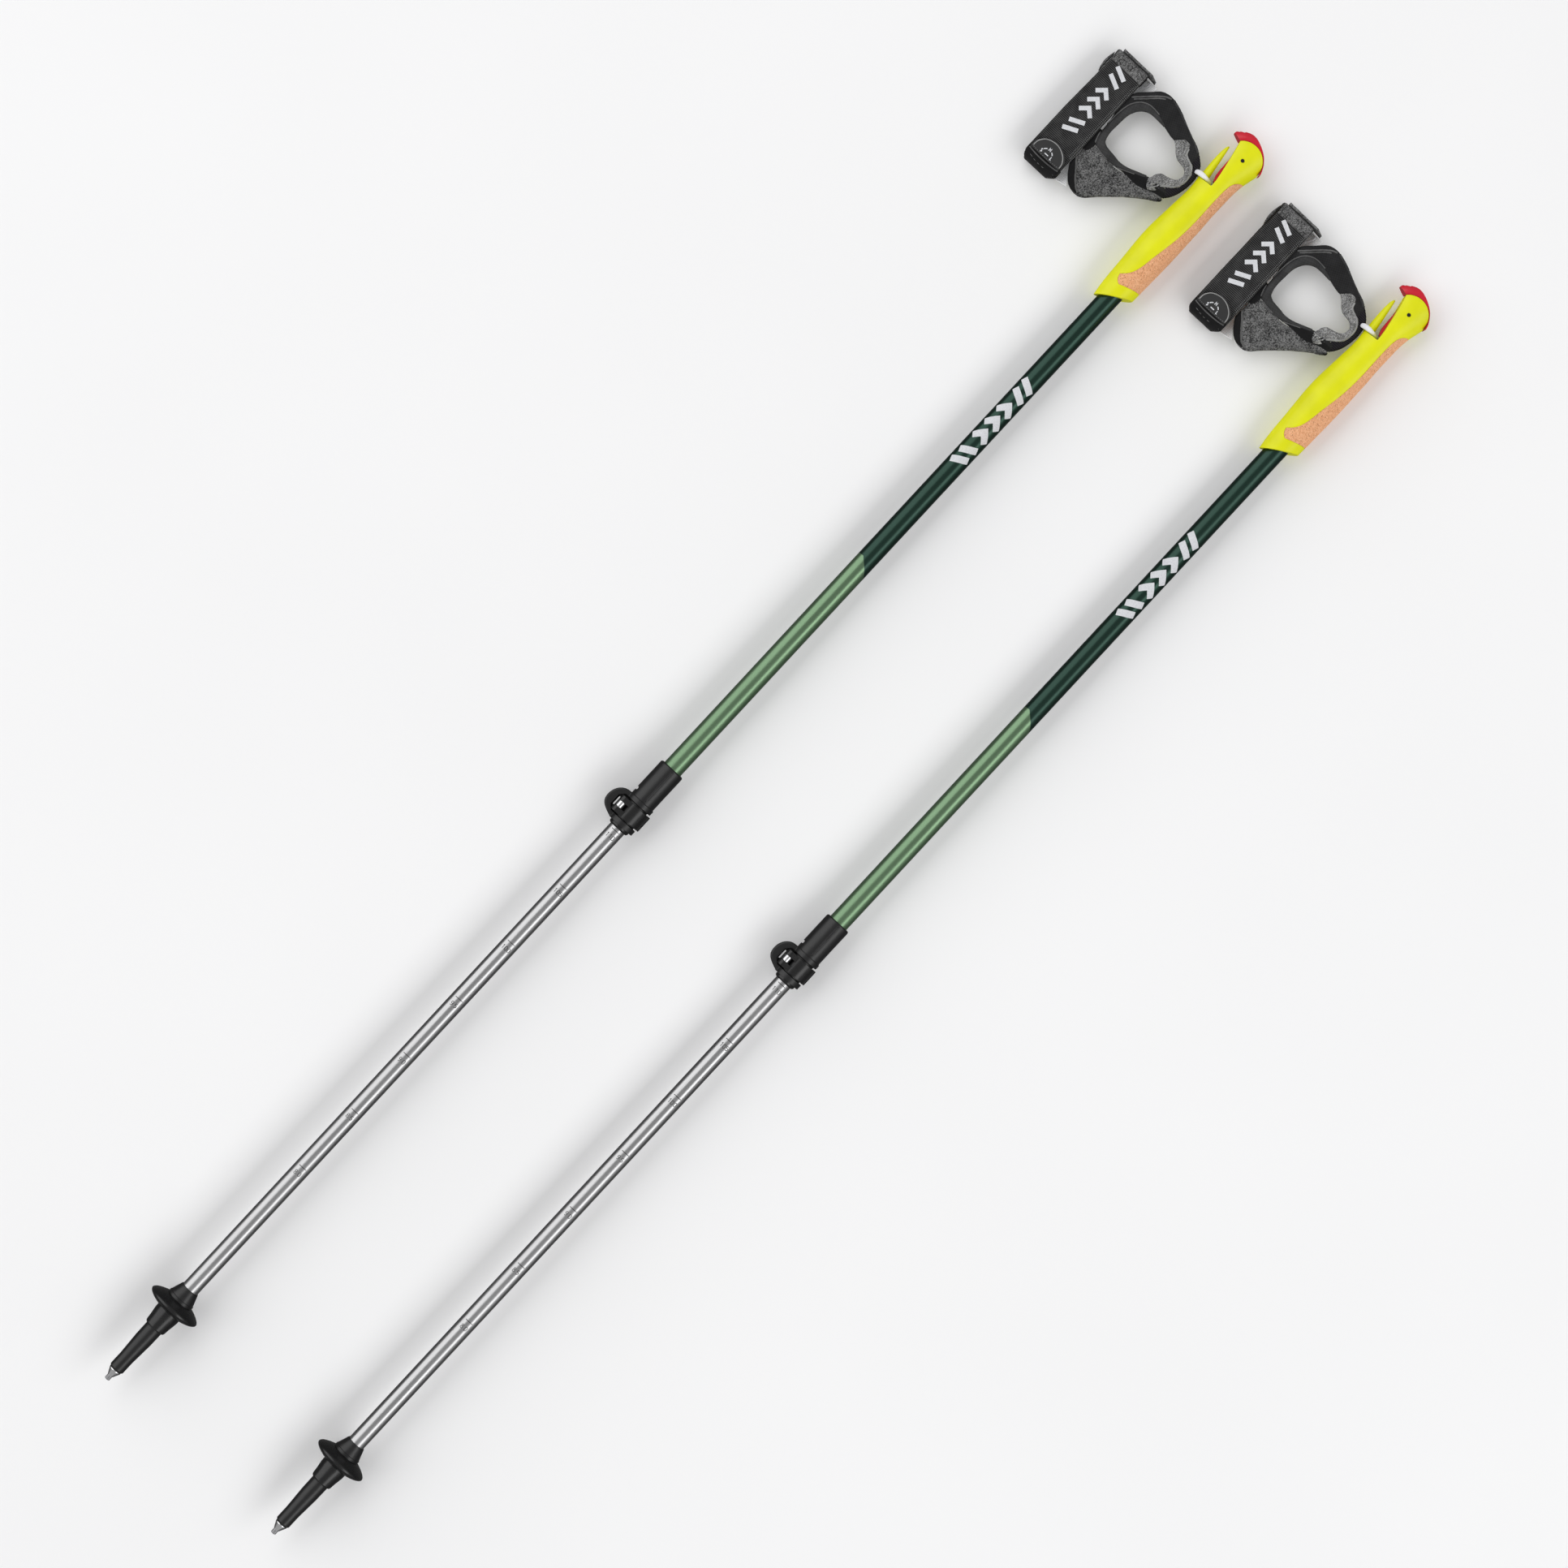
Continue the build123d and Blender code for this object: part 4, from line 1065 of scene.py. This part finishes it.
def band_outline(share):
    """A point (along, height) on the middle of the band's wall, at a share of the way round."""
    half_long = (BAND_HIGH - BAND_LOW - BAND_WALL) / 2
    half_high = (BAND_TOP - BAND_WALL) / 2
    corner = half_high - 0.4
    centre = (BAND_LOW + BAND_HIGH) / 2
    straight, side = 2 * (half_long - corner), 2 * (half_high - corner)
    bend = pi / 2 * corner
    at = (share % 1) * (2 * straight + 2 * side + 4 * bend)
    legs = [
        (straight, -half_long + corner, half_high),
        (side, half_long, half_high - corner),
        (straight, half_long - corner, -half_high),
        (side, -half_long, -half_high + corner),
    ]
    for k, (length, *start) in enumerate(legs):
        turn = radians(-90 * k)
        ahead = Vector((cos(turn), sin(turn)))
        if at <= length:
            p = Vector(start) + ahead * at
            break
        at -= length
        if at <= bend:
            pivot = Vector(start) + ahead * length + Vector((ahead.y, -ahead.x)) * corner
            swing = turn + pi / 2 - at / corner
            p = pivot + corner * Vector((cos(swing), sin(swing)))
            break
        at -= bend
    return Vector((centre + p.x, BAND_TOP / 2 + p.y))


def band_sag(along):
    """How far the band's upper layer has sunk here."""
    share = (along - BAND_LOW) / (BAND_HIGH - BAND_LOW)
    return 0.45 * sin(pi * share) + 0.2 * sin(9 * share)


def band_edges(along, upper):
    """The band's edges: its upper layer narrows to one end, and its other end is round."""
    near, far = BAND_NEAR + 0.1, BAND_FAR - 0.1
    far -= 1.4 * upper * min(1.0, max(0.0, (along - 1036.0) / 40.0))
    depth = max(0.0, 1 - (along - BAND_LOW) / 5.5)
    return near + 6.0 * depth**1.6, far - 4.2 * depth**2.2


def band_shell(first, last, out, wall, ribs=0, trim=0.0):
    """A length of the band, from one share of the way round to another, or all of it."""
    closed = last - first >= 1
    stations = round((last - first) * 230)
    columns, steps = (ribs or 12) * 4, 4
    section = [(j / columns, 1) for j in range(columns)]
    section += [(1, 1 - 2 * k / steps) for k in range(steps)]
    section += [(1 - j / columns, -1) for j in range(columns)]
    section += [(0, -1 + 2 * k / steps) for k in range(steps)]
    rings = []
    for i in range(stations + (0 if closed else 1)):
        share = first + (last - first) * i / stations
        here = band_outline(share)
        ahead = (band_outline(share + 0.002) - band_outline(share - 0.002)).normalized()
        outwards = Vector((-ahead.y, ahead.x))
        upper = max(0.0, here.y / BAND_TOP * 2 - 1)
        near, far = band_edges(here.x, upper)
        near, far = near + trim, far - trim
        ring = []
        for across, face in section:
            edge = min(across, 1 - across)
            height = wall - (0.35 if edge == 0 else 0.0)
            if ribs and edge > 0:
                selvedge = 0.2 if edge < 0.07 else 0.0
                height += RIB_HEIGHT * (cos(2 * pi * ribs * across) - 1) + selvedge
            bulge = (1 - face**2) * 0.4 * (1 if across == 1 else -1 if across == 0 else 0)
            off = outwards * (out + height * face)
            v = near + (far - near) * across + bulge
            ring.append(level(here.x + off.x, v, here.y + off.y - upper * band_sag(here.x)))
        rings.append(ring)
    return mesh_of_rings(rings, 70, closed)


band_mesh = band_shell(0, 1, 0, BAND_WALL / 2 - 0.1, RIBS)
fold = roughen(band_shell(0.385, 0.465, BAND_WALL / 2, 0.45, trim=0.5), 0.15, 3, 7)
roll = roughen(band_shell(0.93, 1.005, BAND_WALL / 2, 0.4, trim=0.3), 0.12, 4, 8)
tail_mesh = roughen(moulded("strap_tail", 0.35, 3), 0.1, 3, 5)
lining_mesh = roughen(moulded("strap_lining", 0.3, 1, 0.5), 0.12, 5, 6)
tab_mesh = moulded("strap_tab", 0.25, 2)
band_tree, fold_tree, lining_tree, tab_tree = map(tree_of, (band_mesh, fold, lining_mesh, tab_mesh))

on_strap("wrist_band", band_mesh, band_webbing, ["strap_band"])
on_strap("band_fold", fold, fold_cloth)
on_strap("band_roll", roll, dark_cloth_and_shadow)
on_strap("band_tail", tail_mesh, fold_cloth, ["strap_tail"])
for piece in on_strap("mesh_lining", lining_mesh, lining, ["strap_lining"]):
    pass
on_strap("size_tab", tab_mesh, size_tab, ["strap_tab"])

BAND_EDGE = [(1013, 80.9), (1040, 80.9), (1066, 80.9), (1086, 80.9)]
FOLD_SEAM = [(1078.6, 81.4), (1078, 92), (1078.8, 104.8)]
ELASTIC = [(1079.6, 79.2), (1082.2, 77.2), (1084.6, 76), (1086.6, 76.4)]
TAB_EDGE = [
    (1003, 104.6), (1007.4, 104), (1011.4, 100.8), (1013.3, 95.4),
    (1012.9, 90.2), (1010.2, 85.2), (1006.4, 82.4), (1003, 81.8),
]
# A pale cord along the fold under the tab: a seam that also paints the highlight on the roll's edge
TAB_SEAM_AND_HIGHLIGHT = [(1001, 81.4), (1000.2, 88), (1000, 97), (1000.8, 105.4)]
END_ROW = [(997.6, 83), (996.8, 93), (998, 104)]
TAB_ROW = [(1002.6, 81.8), (1001.9, 93), (1002.6, 105.2)]


def beside(outline, along, across):
    """The same outline a little way off."""
    return [(u + along, v + across) for u, v in outline]


heather = [
    stitches_over(BAND_EDGE, band_tree, 1.1, 0.9, 0.75, 0.25),
    stitches_over(beside(BAND_EDGE, 0.5, 1.1), band_tree, 1.1, 0.8, 0.6, 0.2),
]
seams = [stitches_over(beside(FOLD_SEAM, u, 0), fold_tree, 2.1, 1.4, 0.4) for u in (2.0, 7.0)]
streaks = [
    stitches_over(END_ROW, band_tree, 3.4, 2.6, 0.5, 0.55),
    stitches_over(TAB_ROW, tab_tree, 1.5, 1.1, 0.5, 0.1),
]
elastic = cord_over(ELASTIC, lining_tree, 0.9, 0.9)
on_strap("band_edging", join(heather), grey_thread)
on_strap("fold_stitches", join(seams), grey_thread)
on_strap("lining_elastic", elastic, sheath)
on_strap("tab_rim", cord_over(TAB_EDGE, tab_tree, 0.7, 0.5), pale_binding)
# The pale cord at the fold: a seam and a painted highlight on the roll's edge
on_strap("tab_seam_and_highlight", cord_over(TAB_SEAM_AND_HIGHLIGHT, band_tree, 0.9, 0.9, 0.75), piping_and_highlight_cloth)
on_strap("tab_stitches", join(streaks), grey_thread)

# ---- wrist strap: prints


def on_band(x, y, lift):
    """Lays a print on the band's ribs: x runs towards the pole, y towards the grip's head."""
    middle = 94.2
    crest = BAND_TOP - 0.1 - (1 - BAND_WALL / BAND_TOP) * band_sag(y)
    return level(y, middle - x, crest + lift)


def on_tab(x, y, lift):
    """Lays a print on the size tab, about the middle of its arc of sizes."""
    middle_along, middle_across = 1003.4, 94.1
    ground, normal = drop(middle_along + y, middle_across - x, tab_tree)
    return ground + normal * (lift + 0.02) * MM


def size_marks():
    """The three sizes in an arc, with short bars between them."""
    radius, below = 4.3, 0.9
    meshes = []
    for letter, degrees in (("S", 172), ("M", 90), ("L", 6)):
        turn = radians(degrees)

        def lay(x, y, lift, right=radius * cos(turn), up=radius * sin(turn) - below):
            return on_tab(x + right, y + up, lift)

        meshes += lettering(letter, 2.1, 0.5, lay)
    for low, high in ((116, 148), (34, 64)):
        angles = [radians(low + (high - low) * k / 6) for k in range(7)]
        arc = [(radius * cos(angle), radius * sin(angle)) for angle in angles]
        meshes.append(stroke(arc, 0.7, on_tab, 0.05))
    meshes.append(stroke([(-1.4, 0.6), (1.6, 0.6)], 0.7, on_tab, 0.05))
    return join(meshes)


band_starts = (1025, 1031.6, 1041, 1049, 1057, 1067, 1073.6)
band_pattern = pattern(band_starts, 4.9, 4.6, 3.0, on_band, 0.26, -0.2)
on_strap("band_pattern", band_pattern, white_ink)
on_strap("size_marks", size_marks(), white_ink)
